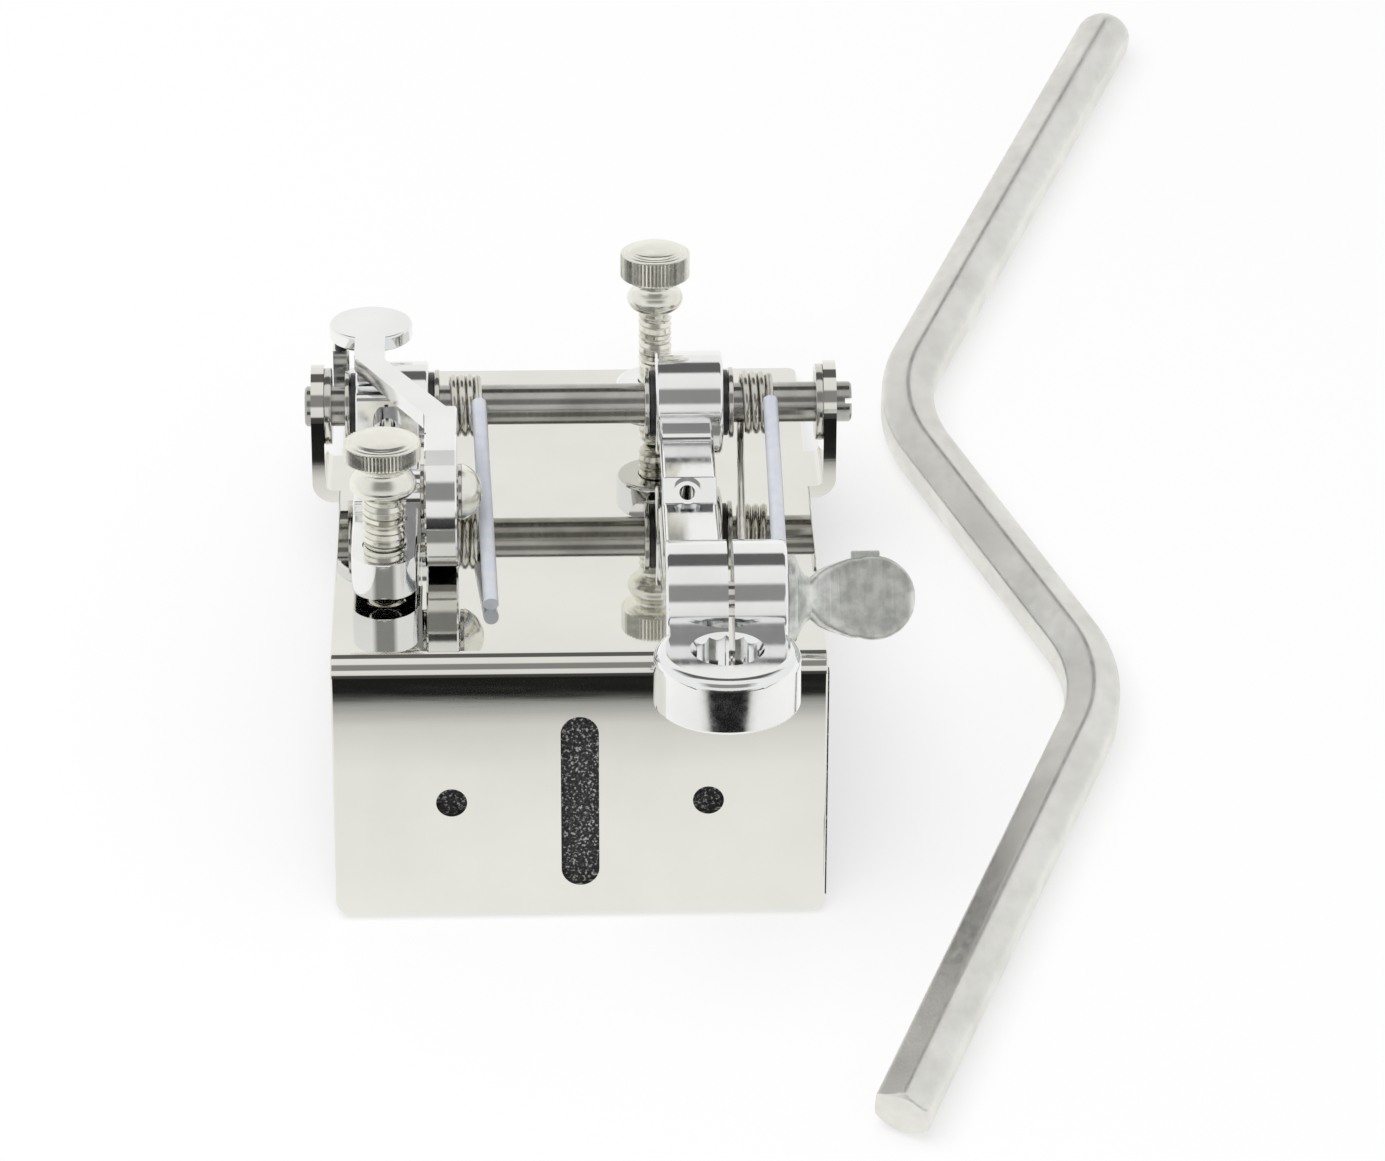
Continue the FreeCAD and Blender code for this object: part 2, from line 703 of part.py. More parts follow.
# The middle of the wire after so many turns from the coil's left end, which is at the bottom
def coilPlace(left, turns):
    angle = 2 * math.pi * turns
    return point(left + springWireRadius + springPitch * turns,
                 shaftSetback + springCoilRadius * math.sin(angle),
                 shaftHeight - springCoilRadius * math.cos(angle))


def makeLeftSpring():
    bottom = coilPlace(leftSpringLeft, 0)
    top = coilPlace(leftSpringLeft, springTurns)
    foot = point(leftSleeveFootX, leftSleeveSetback + sleeveTip, sleeveHeight)
    hookX = leftArmRight - leftHookDepth + hookEndGap
    hookTurn = point(bottom.x, leftHookSetback, springHookHeight)
    hookEnd = point(hookX, leftHookSetback, springHookHeight)
    return makeSpring(leftSpringLeft, [top, foot], [bottom, hookTurn, hookEnd]), makeSleeve(top, foot)


def makeRightSpring():
    bottom = coilPlace(rightSpringLeft, 0)
    top = coilPlace(rightSpringLeft, springTurns)
    foot = point(rightSleeveFootX, rightSleeveSetback + sleeveTip, sleeveHeight)
    hookY = clampAxisSetback + clampBarrelRadius - rightHookDepth + hookEndGap
    hookTurn = point(rightHookX, hookY + rightHookRun, springHookHeight)
    hookEnd = point(rightHookX, hookY, springHookHeight)
    return makeSpring(rightSpringLeft, [top, foot], [bottom, hookTurn, hookEnd]), makeSleeve(top, foot)


# The soft sleeve that keeps a spring's leg from scratching the plate; its far end is closed
def makeSleeve(top, foot):
    along = (foot - top).normalize()
    start = top + along * sleeveStart
    outside = rodBetween(sleeveRadius, start, foot + along * sleeveTip)
    inside = rodBetween(springWireRadius + sleeveClearance, start - along, foot + along * sleeveClearance)
    return outside.cut(inside)


# A straight run of the hexagon bar from start, towards the heading in degrees
def barRun(start, heading, length):
    face = barSection(start, heading)
    angle = math.radians(heading)
    return face.extrude(Vector(math.cos(angle) * length, math.sin(angle) * length, 0))


def barSection(place, heading):
    angle = math.radians(heading)
    across = Vector(-math.sin(angle), math.cos(angle), 0)
    places = []
    for i in range(7):
        turn = math.radians(60 * i)
        places.append(place + across * (barCornerRadius * math.sin(turn))
                      + Vector(0, 0, barCornerRadius * math.cos(turn)))
    return Part.Face(Part.makePolygon(places))


def headingVector(heading):
    angle = math.radians(heading)
    return Vector(math.cos(angle), math.sin(angle), 0)


# A bend of the bar from start; turn is in degrees, positive to the left
def barBend(start, heading, turn):
    sideways = headingVector(heading + math.copysign(90, turn))
    center = start + sideways * barBendRadius
    bend = barSection(start, heading).revolve(center, Vector(0, 0, math.copysign(1, turn)), abs(turn))
    end = center - headingVector(heading + turn + math.copysign(90, turn)) * barBendRadius
    return bend, end


def makeHipBar():
    rearCut = barBendRadius * math.tan(math.radians(barRearTurn / 2))
    frontCut = barBendRadius * math.tan(math.radians(barFrontTurn / 2))
    downHeading = barHeading + 180
    rearEnd = point(barCornerX, barCornerY, barCornerRadius) + headingVector(barHeading) * barRearRun
    rearLength = barRearRun - rearCut
    rear = barRun(rearEnd, downHeading, rearLength)
    rearBend, start = barBend(rearEnd + headingVector(downHeading) * rearLength, downHeading, barRearTurn)
    middleHeading = downHeading + barRearTurn
    middleLength = barMiddleRun - rearCut - frontCut
    middle = barRun(start, middleHeading, middleLength)
    middleEnd = start + headingVector(middleHeading) * middleLength
    frontBend, start = barBend(middleEnd, middleHeading, -barFrontTurn)
    frontHeading = middleHeading - barFrontTurn
    frontLength = barFrontRun - frontCut
    front = barRun(start, frontHeading, frontLength)
    frontEnd = start + headingVector(frontHeading) * frontLength
    down = headingVector(downHeading)
    start = rearEnd
    capStart = barAcrossFlats / 2 - barCapStartInset
    capTip = barAcrossFlats / 2 - barCapTipInset
    capFoot = barCornerRadius + barCapRelief
    for near, far, depth in ((capStart, capTip, barCapTipDepth), (capTip, capFoot, barCapDepth)):
        zone = barRun(start, downHeading, depth)
        rear = rear.cut(zone.cut(Part.makeCone(near, far, depth, start, down)))
        start = start + down * depth
    tipRadius = barAcrossFlats / 2 - barTipInset
    chamfer = Part.makeCone(tipRadius, tipRadius + barEndChamfer * barChamferSpread, barEndChamfer, frontEnd,
                            -headingVector(frontHeading))
    tipZone = barRun(frontEnd, frontHeading + 180, barEndChamfer)
    front = front.cut(tipZone.cut(chamfer))
    return fused(rear, rearBend, middle, frontBend, front)


def standUp(shape):
    origin = point(0, 0, -flangeHolesDepth)
    moved = shape.copy()
    moved.translate(-origin)
    moved.rotate(Vector(0, 0, 0), Vector(1, 0, 0), -math.degrees(tiltAngle))
    return moved


# Height of the table under the origin, where the foot of the flange and the rear edge touch it
def tableHeight():
    foot = point(0, plateThickness, flangeHolesDepth - flangeHeight)
    return -foot.y * math.sin(tiltAngle) + foot.z * math.cos(tiltAngle)


# Table axes have the bracket's corner edge above their origin, so the bar's places are moved from there
def layOnTable(shape):
    cornerShift = flangeHolesDepth * math.sin(tiltAngle)
    moved = shape.copy()
    moved.translate(Vector(0, cornerShift, tableHeight()))
    return moved


def build():
    leftHubRight = leftHubLeft + leftHubWidth
    rightHubRight = rightHubLeft + rightHubWidth
    parts["bracket"] = makeBracket()
    parts["flange_felt"], parts["plate_felt"] = makeFelt()
    parts["shaft"] = makeShaft()
    earGap = earInner - earWasherThickness
    parts["ear_washer_left"] = makeWasher(-earInner, earWasherThickness, earWasherRadius)
    parts["ear_washer_right"] = makeWasher(earGap, earWasherThickness, earWasherRadius)
    bushRoom = bushFlangeThickness + sideGap
    for side, left, right in (("left", leftHubLeft, leftHubRight), ("right", rightHubLeft, rightHubRight)):
        outer = makeWasher(left - bushRoom - washerThickness, washerThickness, washerRadius)
        parts[side + "_lever_washer_one"] = outer
        parts[side + "_lever_washer_two"] = makeWasher(right + bushRoom, washerThickness, washerRadius)
    parts["left_lever"] = makeLeftLever()
    parts["left_lever_outer_bush"] = makeBush(leftHubLeft, -1)
    parts["left_lever_inner_bush"] = makeBush(leftHubRight, 1)
    parts["toggle_lever"] = makeToggle()
    parts["toggle_screw"] = makeToggleScrew()
    parts["toggle_friction_washer"], parts["toggle_screw_washer"] = makeToggleWashers()
    parts["toggle_rest_screw"] = makeRestScrew()
    parts["front_thumbscrew"] = makeThumbscrew(
        leftArmCenter, frontScrewSetback, frontScrewTip, frontThreadRadius, frontCollarBottom,
        frontCollarRadius, frontHeadBottom, frontHeadRadius, frontHeadTop, 0.15)
    parts["right_lever"] = makeRightLever()
    parts["right_lever_inner_bush"] = makeBush(rightHubLeft, -1)
    parts["right_lever_outer_bush"] = makeBush(rightHubRight, 1)
    parts["rear_thumbscrew"] = makeThumbscrew(
        rearScrewX, rearScrewSetback, rearScrewTip, rearThreadRadius, rearCollarBottom,
        rearCollarRadius, rearHeadBottom, rearHeadRadius, rearHeadTop, 0.5)
    parts["clamp_paddle"], parts["clamp_stud"] = makeClampScrew()
    parts["left_spring"], parts["left_spring_sleeve"] = makeLeftSpring()
    parts["right_spring"], parts["right_spring_sleeve"] = makeRightSpring()
    for name in parts:
        parts[name] = standUp(parts[name])
    parts["hip_bar"] = layOnTable(makeHipBar())


build()
os.makedirs("parts", exist_ok=True)
for name, shape in parts.items():
    shape.exportStep("parts/" + name + ".step")
    box = shape.BoundBox
    print(name, "valid", shape.isValid(), "solids", len(shape.Solids), "volume", round(shape.Volume, 2),
          "z", round(box.ZMin, 2), round(box.ZMax, 2))
print("tilt", round(math.degrees(tiltAngle), 3), "table", round(tableHeight(), 3))
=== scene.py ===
import json
import math

import bmesh
import bpy
from mathutils import Matrix, Vector


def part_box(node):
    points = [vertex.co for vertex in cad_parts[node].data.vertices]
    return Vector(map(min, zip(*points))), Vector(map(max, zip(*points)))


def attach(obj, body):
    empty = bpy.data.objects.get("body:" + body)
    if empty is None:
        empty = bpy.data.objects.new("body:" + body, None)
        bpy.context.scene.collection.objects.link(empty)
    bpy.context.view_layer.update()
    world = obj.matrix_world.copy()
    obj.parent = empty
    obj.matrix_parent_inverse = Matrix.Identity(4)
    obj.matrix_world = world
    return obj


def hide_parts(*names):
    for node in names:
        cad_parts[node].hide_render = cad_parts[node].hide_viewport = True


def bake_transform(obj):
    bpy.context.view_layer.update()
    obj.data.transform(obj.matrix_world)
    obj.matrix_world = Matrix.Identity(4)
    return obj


# Guitar string bender with a drop-tuning toggle, standing beside its loose hip bar
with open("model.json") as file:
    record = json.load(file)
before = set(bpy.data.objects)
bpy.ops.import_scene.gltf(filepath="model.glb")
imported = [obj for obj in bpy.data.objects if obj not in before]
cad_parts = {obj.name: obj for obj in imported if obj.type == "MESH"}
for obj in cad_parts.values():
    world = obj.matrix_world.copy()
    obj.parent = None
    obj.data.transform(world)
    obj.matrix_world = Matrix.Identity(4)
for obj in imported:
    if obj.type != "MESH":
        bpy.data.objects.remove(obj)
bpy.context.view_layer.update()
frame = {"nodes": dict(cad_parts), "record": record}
nodes = frame["nodes"]
mm = 0.001
print("frame loaded:", len(nodes), "nodes")

# The bracket's own axes: X right, Y from the flange to the back, Z up from the plate
bracketAxes = {"tilt": 21.7507, "drop": 22.7}


def bracketMatrix():
    tilt = math.radians(bracketAxes["tilt"])
    lift = Matrix.Translation((0, 0, bracketAxes["drop"]))
    turn = Matrix.Rotation(-tilt, 4, "X")
    return Matrix.Scale(mm, 4) @ turn @ lift


toFrame = bracketMatrix()


def freshMaterial(name):
    material = bpy.data.materials.new(name)
    material.use_nodes = True
    shader = material.node_tree.nodes["Principled BSDF"]
    return material, material.node_tree, shader


def addNode(tree, kind, **settings):
    node = tree.nodes.new(kind)
    for key, value in settings.items():
        setattr(node, key, value)
    return node


# A noise on object coordinates, stretched by the three scales in its mapping
def addNoise(tree, stretch, scale, detail=4.0, turn=(0, 0, 0)):
    coordinate = addNode(tree, "ShaderNodeTexCoord")
    mapping = addNode(tree, "ShaderNodeMapping")
    mapping.inputs["Scale"].default_value = stretch
    mapping.inputs["Rotation"].default_value = turn
    noise = addNode(tree, "ShaderNodeTexNoise")
    noise.inputs["Scale"].default_value = scale
    noise.inputs["Detail"].default_value = detail
    tree.links.new(coordinate.outputs["Object"], mapping.inputs["Vector"])
    tree.links.new(mapping.outputs["Vector"], noise.inputs["Vector"])
    return noise


def addRamp(tree, source, stops):
    ramp = addNode(tree, "ShaderNodeValToRGB")
    elements = ramp.color_ramp.elements
    elements[0].position, elements[0].color = stops[0]
    elements[1].position, elements[1].color = stops[-1]
    for place, color in stops[1:-1]:
        element = elements.new(place)
        element.color = color
    tree.links.new(source, ramp.inputs["Fac"])
    return ramp


def addRange(tree, source, low, high, fromLow=0.3, fromHigh=0.7):
    span = addNode(tree, "ShaderNodeMapRange")
    span.inputs["From Min"].default_value = fromLow
    span.inputs["From Max"].default_value = fromHigh
    span.inputs["To Min"].default_value = low
    span.inputs["To Max"].default_value = high
    tree.links.new(source, span.inputs["Value"])
    return span


def addBump(tree, source, strength, distance, normal=None):
    bump = addNode(tree, "ShaderNodeBump")
    bump.inputs["Strength"].default_value = strength
    bump.inputs["Distance"].default_value = distance
    tree.links.new(source, bump.inputs["Height"])
    if normal:
        tree.links.new(normal, bump.inputs["Normal"])
    return bump


def paint(red, green, blue):
    return (red, green, blue, 1.0)


# Each metal: its clean and its dull colour, how rough it is, the direction of its polishing lines
metalFinishes = {
    "mirrorNickel": {
        "clean": paint(0.835, 0.83, 0.79), "dull": paint(0.80, 0.795, 0.755), "rough": (0.015, 0.035),
        "lines": (60, 900, 900), "lineDepth": 0.008, "cloud": 60},
    "polishedAluminium": {
        "clean": paint(0.93, 0.935, 0.94), "dull": paint(0.88, 0.885, 0.89), "rough": (0.06, 0.12),
        "lines": (900, 120, 900), "lineDepth": 0.05, "cloud": 90},
    "brightSteel": {
        "clean": paint(0.70, 0.69, 0.655), "dull": paint(0.60, 0.59, 0.56), "rough": (0.10, 0.18),
        "lines": (1500, 90, 90), "lineDepth": 0.05, "cloud": 120},
    "shaftSteel": {
        "clean": paint(0.50, 0.495, 0.47), "dull": paint(0.38, 0.375, 0.355), "rough": (0.14, 0.24),
        "lines": (1500, 90, 90), "lineDepth": 0.06, "cloud": 160},
    "turnedNickel": {
        "clean": paint(0.90, 0.89, 0.82), "dull": paint(0.82, 0.81, 0.74), "rough": (0.18, 0.28),
        "lines": (200, 200, 1800), "lineDepth": 0.06, "cloud": 200},
    "springWire": {
        "clean": paint(0.74, 0.72, 0.67), "dull": paint(0.56, 0.54, 0.50), "rough": (0.12, 0.22),
        "lines": (300, 300, 300), "lineDepth": 0.04, "cloud": 260},
    "brushedPaddle": {
        "clean": paint(0.84, 0.855, 0.83), "dull": paint(0.60, 0.615, 0.59), "rough": (0.32, 0.5),
        "lines": (2600, 140, 140), "lineDepth": 0.8, "cloud": 520, "turn": 0.1},
    "satinNickel": {
        "clean": paint(0.88, 0.875, 0.84), "dull": paint(0.78, 0.775, 0.74), "rough": (0.36, 0.5),
        "lines": (700, 700, 700), "lineDepth": 0.12, "cloud": 140},
}


bumpDistance = 0.00004


def makeMetal(name):
    finish = metalFinishes[name]
    material, tree, shader = freshMaterial(name)
    cloud = addNoise(tree, (1, 1, 1), finish["cloud"], 5.0)
    lines = addNoise(tree, finish["lines"], 1.0, 3.0, (0, 0, finish.get("turn", 0.0)))
    color = addRamp(tree, cloud.outputs["Fac"], [(0.35, finish["dull"]), (0.62, finish["clean"])])
    rough = addRange(tree, lines.outputs["Fac"], *finish["rough"])
    bump = addBump(tree, lines.outputs["Fac"], finish["lineDepth"], bumpDistance)
    shader.inputs["Metallic"].default_value = 1.0
    tree.links.new(color.outputs["Color"], shader.inputs["Base Color"])
    tree.links.new(rough.outputs["Result"], shader.inputs["Roughness"])
    tree.links.new(bump.outputs["Normal"], shader.inputs["Normal"])
    return material


feltLook = {"dark": paint(0.008, 0.008, 0.009), "grey": paint(0.045, 0.045, 0.048),
            "fleck": paint(0.42, 0.42, 0.41), "grain": 2600, "depth": 0.0004}


def makeFelt():
    material, tree, shader = freshMaterial("speckledFelt")
    fibres = addNoise(tree, (1, 1, 1), feltLook["grain"], 6.0)
    mat = addNoise(tree, (1, 1, 1), feltLook["grain"] / 5, 5.0)
    color = addRamp(tree, fibres.outputs["Fac"], [
        (0.40, feltLook["dark"]), (0.56, feltLook["grey"]), (0.64, feltLook["fleck"])])
    bump = addBump(tree, mat.outputs["Fac"], 1.0, feltLook["depth"])
    tree.links.new(color.outputs["Color"], shader.inputs["Base Color"])
    tree.links.new(bump.outputs["Normal"], shader.inputs["Normal"])
    shader.inputs["Roughness"].default_value = 0.95
    shader.inputs["Sheen Weight"].default_value = 0.3
    return material


bushLook = {"light": paint(0.035, 0.035, 0.037), "dark": paint(0.012, 0.012, 0.013)}


def makeBlackPlastic():
    material, tree, shader = freshMaterial("blackBushPlastic")
    cloud = addNoise(tree, (1, 1, 1), 900, 4.0)
    color = addRamp(tree, cloud.outputs["Fac"], [(0.35, bushLook["dark"]), (0.65, bushLook["light"])])
    rough = addRange(tree, cloud.outputs["Fac"], 0.28, 0.42)
    bump = addBump(tree, cloud.outputs["Fac"], 0.15, 0.00005)
    tree.links.new(color.outputs["Color"], shader.inputs["Base Color"])
    tree.links.new(rough.outputs["Result"], shader.inputs["Roughness"])
    tree.links.new(bump.outputs["Normal"], shader.inputs["Normal"])
    return material


sleeveLook = {"clear": paint(0.93, 0.95, 0.99), "milky": paint(0.84, 0.88, 0.98)}


def makeSleeveVinyl():
    material, tree, shader = freshMaterial("clearSleeveVinyl")
    cloud = addNoise(tree, (1, 1, 1), 500, 3.0)
    color = addRamp(tree, cloud.outputs["Fac"], [(0.35, sleeveLook["milky"]), (0.65, sleeveLook["clear"])])
    rough = addRange(tree, cloud.outputs["Fac"], 0.12, 0.26)
    tree.links.new(color.outputs["Color"], shader.inputs["Base Color"])
    tree.links.new(rough.outputs["Result"], shader.inputs["Roughness"])
    shader.inputs["Transmission Weight"].default_value = 0.45
    shader.inputs["IOR"].default_value = 1.42
    return material


# The satin bar is pitted where its plating has worn at the front end
barPits = {"edge": -0.03, "fade": 0.03, "depth": 0.00006}


def makeBarMetal():
    material = makeMetal("satinNickel")
    tree = material.node_tree
    shader = tree.nodes["Principled BSDF"]
    base = shader.inputs["Normal"].links[0].from_socket
    pits = addNoise(tree, (1, 1, 1), 2200, 5.0)
    coordinate = addNode(tree, "ShaderNodeTexCoord")
    split = addNode(tree, "ShaderNodeSeparateXYZ")
    tree.links.new(coordinate.outputs["Object"], split.inputs["Vector"])
    worn = addRange(tree, split.outputs["Y"], 1.0, 0.0, barPits["edge"], barPits["edge"] + barPits["fade"])
    product = addNode(tree, "ShaderNodeMath", operation="MULTIPLY")
    tree.links.new(pits.outputs["Fac"], product.inputs[0])
    tree.links.new(worn.outputs["Result"], product.inputs[1])
    bump = addBump(tree, product.outputs["Value"], 0.8, barPits["depth"], base)
    tree.links.new(bump.outputs["Normal"], shader.inputs["Normal"])
    return material


looks = {name: makeMetal(name) for name in metalFinishes if name != "satinNickel"}
looks["satinNickel"] = makeBarMetal()
looks["felt"] = makeFelt()
looks["blackPlastic"] = makeBlackPlastic()
looks["sleeve"] = makeSleeveVinyl()

nodeLooks = {
    "bracket": "mirrorNickel", "shaft": "shaftSteel", "left_lever": "polishedAluminium",
    "right_lever": "polishedAluminium", "toggle_lever": "polishedAluminium", "toggle_screw": "turnedNickel",
    "flange_felt": "felt", "plate_felt": "felt", "clamp_stud": "brightSteel",
    "toggle_rest_screw": "blackPlastic", "left_spring_sleeve": "sleeve", "right_spring_sleeve": "sleeve",
}


def lookOf(name):
    if "bush" in name:
        return "blackPlastic"
    return nodeLooks.get(name, "brightSteel")


for name, node in nodes.items():
    for slot in node.material_slots:
        slot.material = looks[lookOf(name)]
print("materials given:", len(looks))


def freshTree(name, inputs):
    tree = bpy.data.node_groups.new(name, "GeometryNodeTree")
    tree.interface.new_socket("Geometry", in_out="INPUT", socket_type="NodeSocketGeometry")
    for label, kind in inputs:
        tree.interface.new_socket(label, in_out="INPUT", socket_type=kind)
    tree.interface.new_socket("Geometry", in_out="OUTPUT", socket_type="NodeSocketGeometry")
    return tree, tree.nodes.new("NodeGroupInput"), tree.nodes.new("NodeGroupOutput")


# Runs an object through a tree and gives back the plain mesh
def runTree(source, tree, values):
    modifier = source.modifiers.new(tree.name, "NODES")
    modifier.node_group = tree
    for item in tree.interface.items_tree:
        if item.in_out == "INPUT" and item.name in values:
            modifier[item.identifier] = values[item.name]
    graph = bpy.context.evaluated_depsgraph_get()
    mesh = bpy.data.meshes.new_from_object(source.evaluated_get(graph), depsgraph=graph)
    source.modifiers.remove(modifier)
    return mesh


def floatInputs(*labels):
    return [(label, "NodeSocketFloat") for label in labels]


# A many-sided profile, rounded at its corners, carried along a path
def makeSweepTree():
    tree, entry, leave = freshTree("profileAlongPath", floatInputs("Radius", "Rounding", "Turn") + [
        ("Sides", "NodeSocketInt"), ("Material", "NodeSocketMaterial")])
    circle = addNode(tree, "GeometryNodeCurvePrimitiveCircle")
    fillet = addNode(tree, "GeometryNodeFilletCurve")
    turned = addNode(tree, "GeometryNodeTransform")
    angle = addNode(tree, "ShaderNodeCombineXYZ")
    sweep = addNode(tree, "GeometryNodeCurveToMesh")
    widths = addNode(tree, "GeometryNodeInputRadius")
    realize = addNode(tree, "GeometryNodeRealizeInstances")
    finish = addNode(tree, "GeometryNodeSetMaterial")
    link = tree.links.new
    if "Mode" in fillet.inputs:
        fillet.inputs["Mode"].default_value = "Poly"
    else:
        fillet.mode = "POLY"
    fillet.inputs["Count"].default_value = 4
    sweep.inputs["Fill Caps"].default_value = True
    link(entry.outputs["Sides"], circle.inputs["Resolution"])
    link(entry.outputs["Radius"], circle.inputs["Radius"])
    link(circle.outputs["Curve"], fillet.inputs["Curve"])
    link(entry.outputs["Rounding"], fillet.inputs["Radius"])
    link(fillet.outputs["Curve"], turned.inputs["Geometry"])
    link(entry.outputs["Turn"], angle.inputs["Z"])
    link(angle.outputs["Vector"], turned.inputs["Rotation"])
    link(entry.outputs["Geometry"], sweep.inputs["Curve"])
    link(turned.outputs["Geometry"], sweep.inputs["Profile Curve"])
    if "Scale" in sweep.inputs:
        link(widths.outputs["Radius"], sweep.inputs["Scale"])
    link(sweep.outputs["Mesh"], realize.inputs["Geometry"])
    link(realize.outputs["Geometry"], finish.inputs["Geometry"])
    link(entry.outputs["Material"], finish.inputs["Material"])
    link(finish.outputs["Geometry"], leave.inputs["Geometry"])
    return tree


# Straight knurls round a head and a screw thread, added to a turned body that stands on Z
def makeScrewTree():
    tree, entry, leave = freshTree("knurlsAndThread", floatInputs(
        "Head Radius", "Head Middle", "Knurl Length", "Knurl Radius", "Thread Radius", "Thread Start",
        "Thread Length", "Thread Depth") + [("Knurls", "NodeSocketInt"), ("Turns", "NodeSocketFloat"),
                                            ("Material", "NodeSocketMaterial")])
    link = tree.links.new
    ringCurve = addNode(tree, "GeometryNodeCurvePrimitiveCircle")
    ringPoints = addNode(tree, "GeometryNodeCurveToPoints")
    ridge = addNode(tree, "GeometryNodeMeshCone")
    ridge.inputs["Vertices"].default_value = 4
    ridgeUp = addNode(tree, "GeometryNodeTransform")
    halfLength = addNode(tree, "ShaderNodeMath", operation="MULTIPLY")
    halfLength.inputs[1].default_value = -0.5
    ridgeShift = addNode(tree, "ShaderNodeCombineXYZ")
    place = addNode(tree, "GeometryNodeInstanceOnPoints")
    lift = addNode(tree, "GeometryNodeTransform")
    liftBy = addNode(tree, "ShaderNodeCombineXYZ")
    link(entry.outputs["Knurls"], ringCurve.inputs["Resolution"])
    link(entry.outputs["Head Radius"], ringCurve.inputs["Radius"])
    link(ringCurve.outputs["Curve"], ringPoints.inputs["Curve"])
    ringPoints.mode = "EVALUATED"
    link(entry.outputs["Knurl Radius"], ridge.inputs["Radius Top"])
    link(entry.outputs["Knurl Radius"], ridge.inputs["Radius Bottom"])
    link(entry.outputs["Knurl Length"], ridge.inputs["Depth"])
    link(entry.outputs["Knurl Length"], halfLength.inputs[0])
    link(halfLength.outputs["Value"], ridgeShift.inputs["Z"])
    link(ridge.outputs["Mesh"], ridgeUp.inputs["Geometry"])
    link(ridgeShift.outputs["Vector"], ridgeUp.inputs["Translation"])
    link(ringPoints.outputs["Points"], place.inputs["Points"])
    link(ridgeUp.outputs["Geometry"], place.inputs["Instance"])
    aim = addNode(tree, "FunctionNodeAlignRotationToVector", axis="X")
    where = addNode(tree, "GeometryNodeInputPosition")
    link(where.outputs["Position"], aim.inputs["Vector"])
    link(aim.outputs["Rotation"], place.inputs["Rotation"])
    link(place.outputs["Instances"], lift.inputs["Geometry"])
    link(entry.outputs["Head Middle"], liftBy.inputs["Z"])
    link(liftBy.outputs["Vector"], lift.inputs["Translation"])
    spiral = addNode(tree, "GeometryNodeCurveSpiral")
    spiral.inputs["Resolution"].default_value = 32
    threadUp = addNode(tree, "GeometryNodeTransform")
    threadShift = addNode(tree, "ShaderNodeCombineXYZ")
    threadProfile = addNode(tree, "GeometryNodeCurvePrimitiveCircle")
    threadProfile.inputs["Resolution"].default_value = 4
    thread = addNode(tree, "GeometryNodeCurveToMesh")
    thread.inputs["Fill Caps"].default_value = True
    link(entry.outputs["Turns"], spiral.inputs["Rotations"])
    link(entry.outputs["Thread Radius"], spiral.inputs["Start Radius"])
    link(entry.outputs["Thread Radius"], spiral.inputs["End Radius"])
    link(entry.outputs["Thread Length"], spiral.inputs["Height"])
    link(spiral.outputs["Curve"], threadUp.inputs["Geometry"])
    link(entry.outputs["Thread Start"], threadShift.inputs["Z"])
    link(threadShift.outputs["Vector"], threadUp.inputs["Translation"])
    link(threadUp.outputs["Geometry"], thread.inputs["Curve"])
    link(entry.outputs["Thread Depth"], threadProfile.inputs["Radius"])
    link(threadProfile.outputs["Curve"], thread.inputs["Profile Curve"])
    join = addNode(tree, "GeometryNodeJoinGeometry")
    realize = addNode(tree, "GeometryNodeRealizeInstances")
    finish = addNode(tree, "GeometryNodeSetMaterial")
    link(entry.outputs["Geometry"], join.inputs["Geometry"])
    link(lift.outputs["Geometry"], join.inputs["Geometry"])
    link(thread.outputs["Mesh"], join.inputs["Geometry"])
    link(join.outputs["Geometry"], realize.inputs["Geometry"])
    link(realize.outputs["Geometry"], finish.inputs["Geometry"])
    link(entry.outputs["Material"], finish.inputs["Material"])
    link(finish.outputs["Geometry"], leave.inputs["Geometry"])
    return tree


sweepTree = makeSweepTree()
screwTree = makeScrewTree()


def addObject(name, data):
    piece = bpy.data.objects.new(name, data)
    bpy.context.scene.collection.objects.link(piece)
    return piece


def smoothShade(mesh, degrees=35):
    mesh.shade_smooth()
    mesh.set_sharp_from_angle(angle=math.radians(degrees))


# A path given as (place in bracket millimetres, width share) becomes a swept piece
def sweepPiece(name, path, values, mode, shift):
    curve = bpy.data.curves.new(name + "_path", "CURVE")
    curve.dimensions = "3D"
    curve.twist_mode = mode
    spline = curve.splines.new("POLY")
    spline.points.add(len(path) - 1)
    for i, (place, width) in enumerate(path):
        spline.points[i].co = (*place, 1)
        spline.points[i].radius = width
    source = addObject(name + "_source", curve)
    mesh = runTree(source, sweepTree, values)
    bpy.data.objects.remove(source)
    mesh.name = name
    mesh.transform(shift)
    smoothShade(mesh)
    return addObject(name, mesh)


def latheMesh(name, profile, segments):
    verts = []
    faces = []
    rings = []
    for radius, height in profile:
        if radius == 0:
            rings.append([len(verts)])
            verts.append((0, 0, height))
            continue
        ring = []
        for i in range(segments):
            angle = 2 * math.pi * i / segments
            ring.append(len(verts))
            verts.append((radius * math.cos(angle), radius * math.sin(angle), height))
        rings.append(ring)
    for low, high in zip(rings[:-1], rings[1:]):
        for i in range(segments):
            after = (i + 1) % segments
            if len(low) == 1:
                faces.append((low[0], high[after], high[i]))
            elif len(high) == 1:
                faces.append((low[i], low[after], high[0]))
            else:
                faces.append((low[i], low[after], high[after], high[i]))
    mesh = bpy.data.meshes.new(name)
    mesh.from_pydata(verts, [], faces)
    return mesh


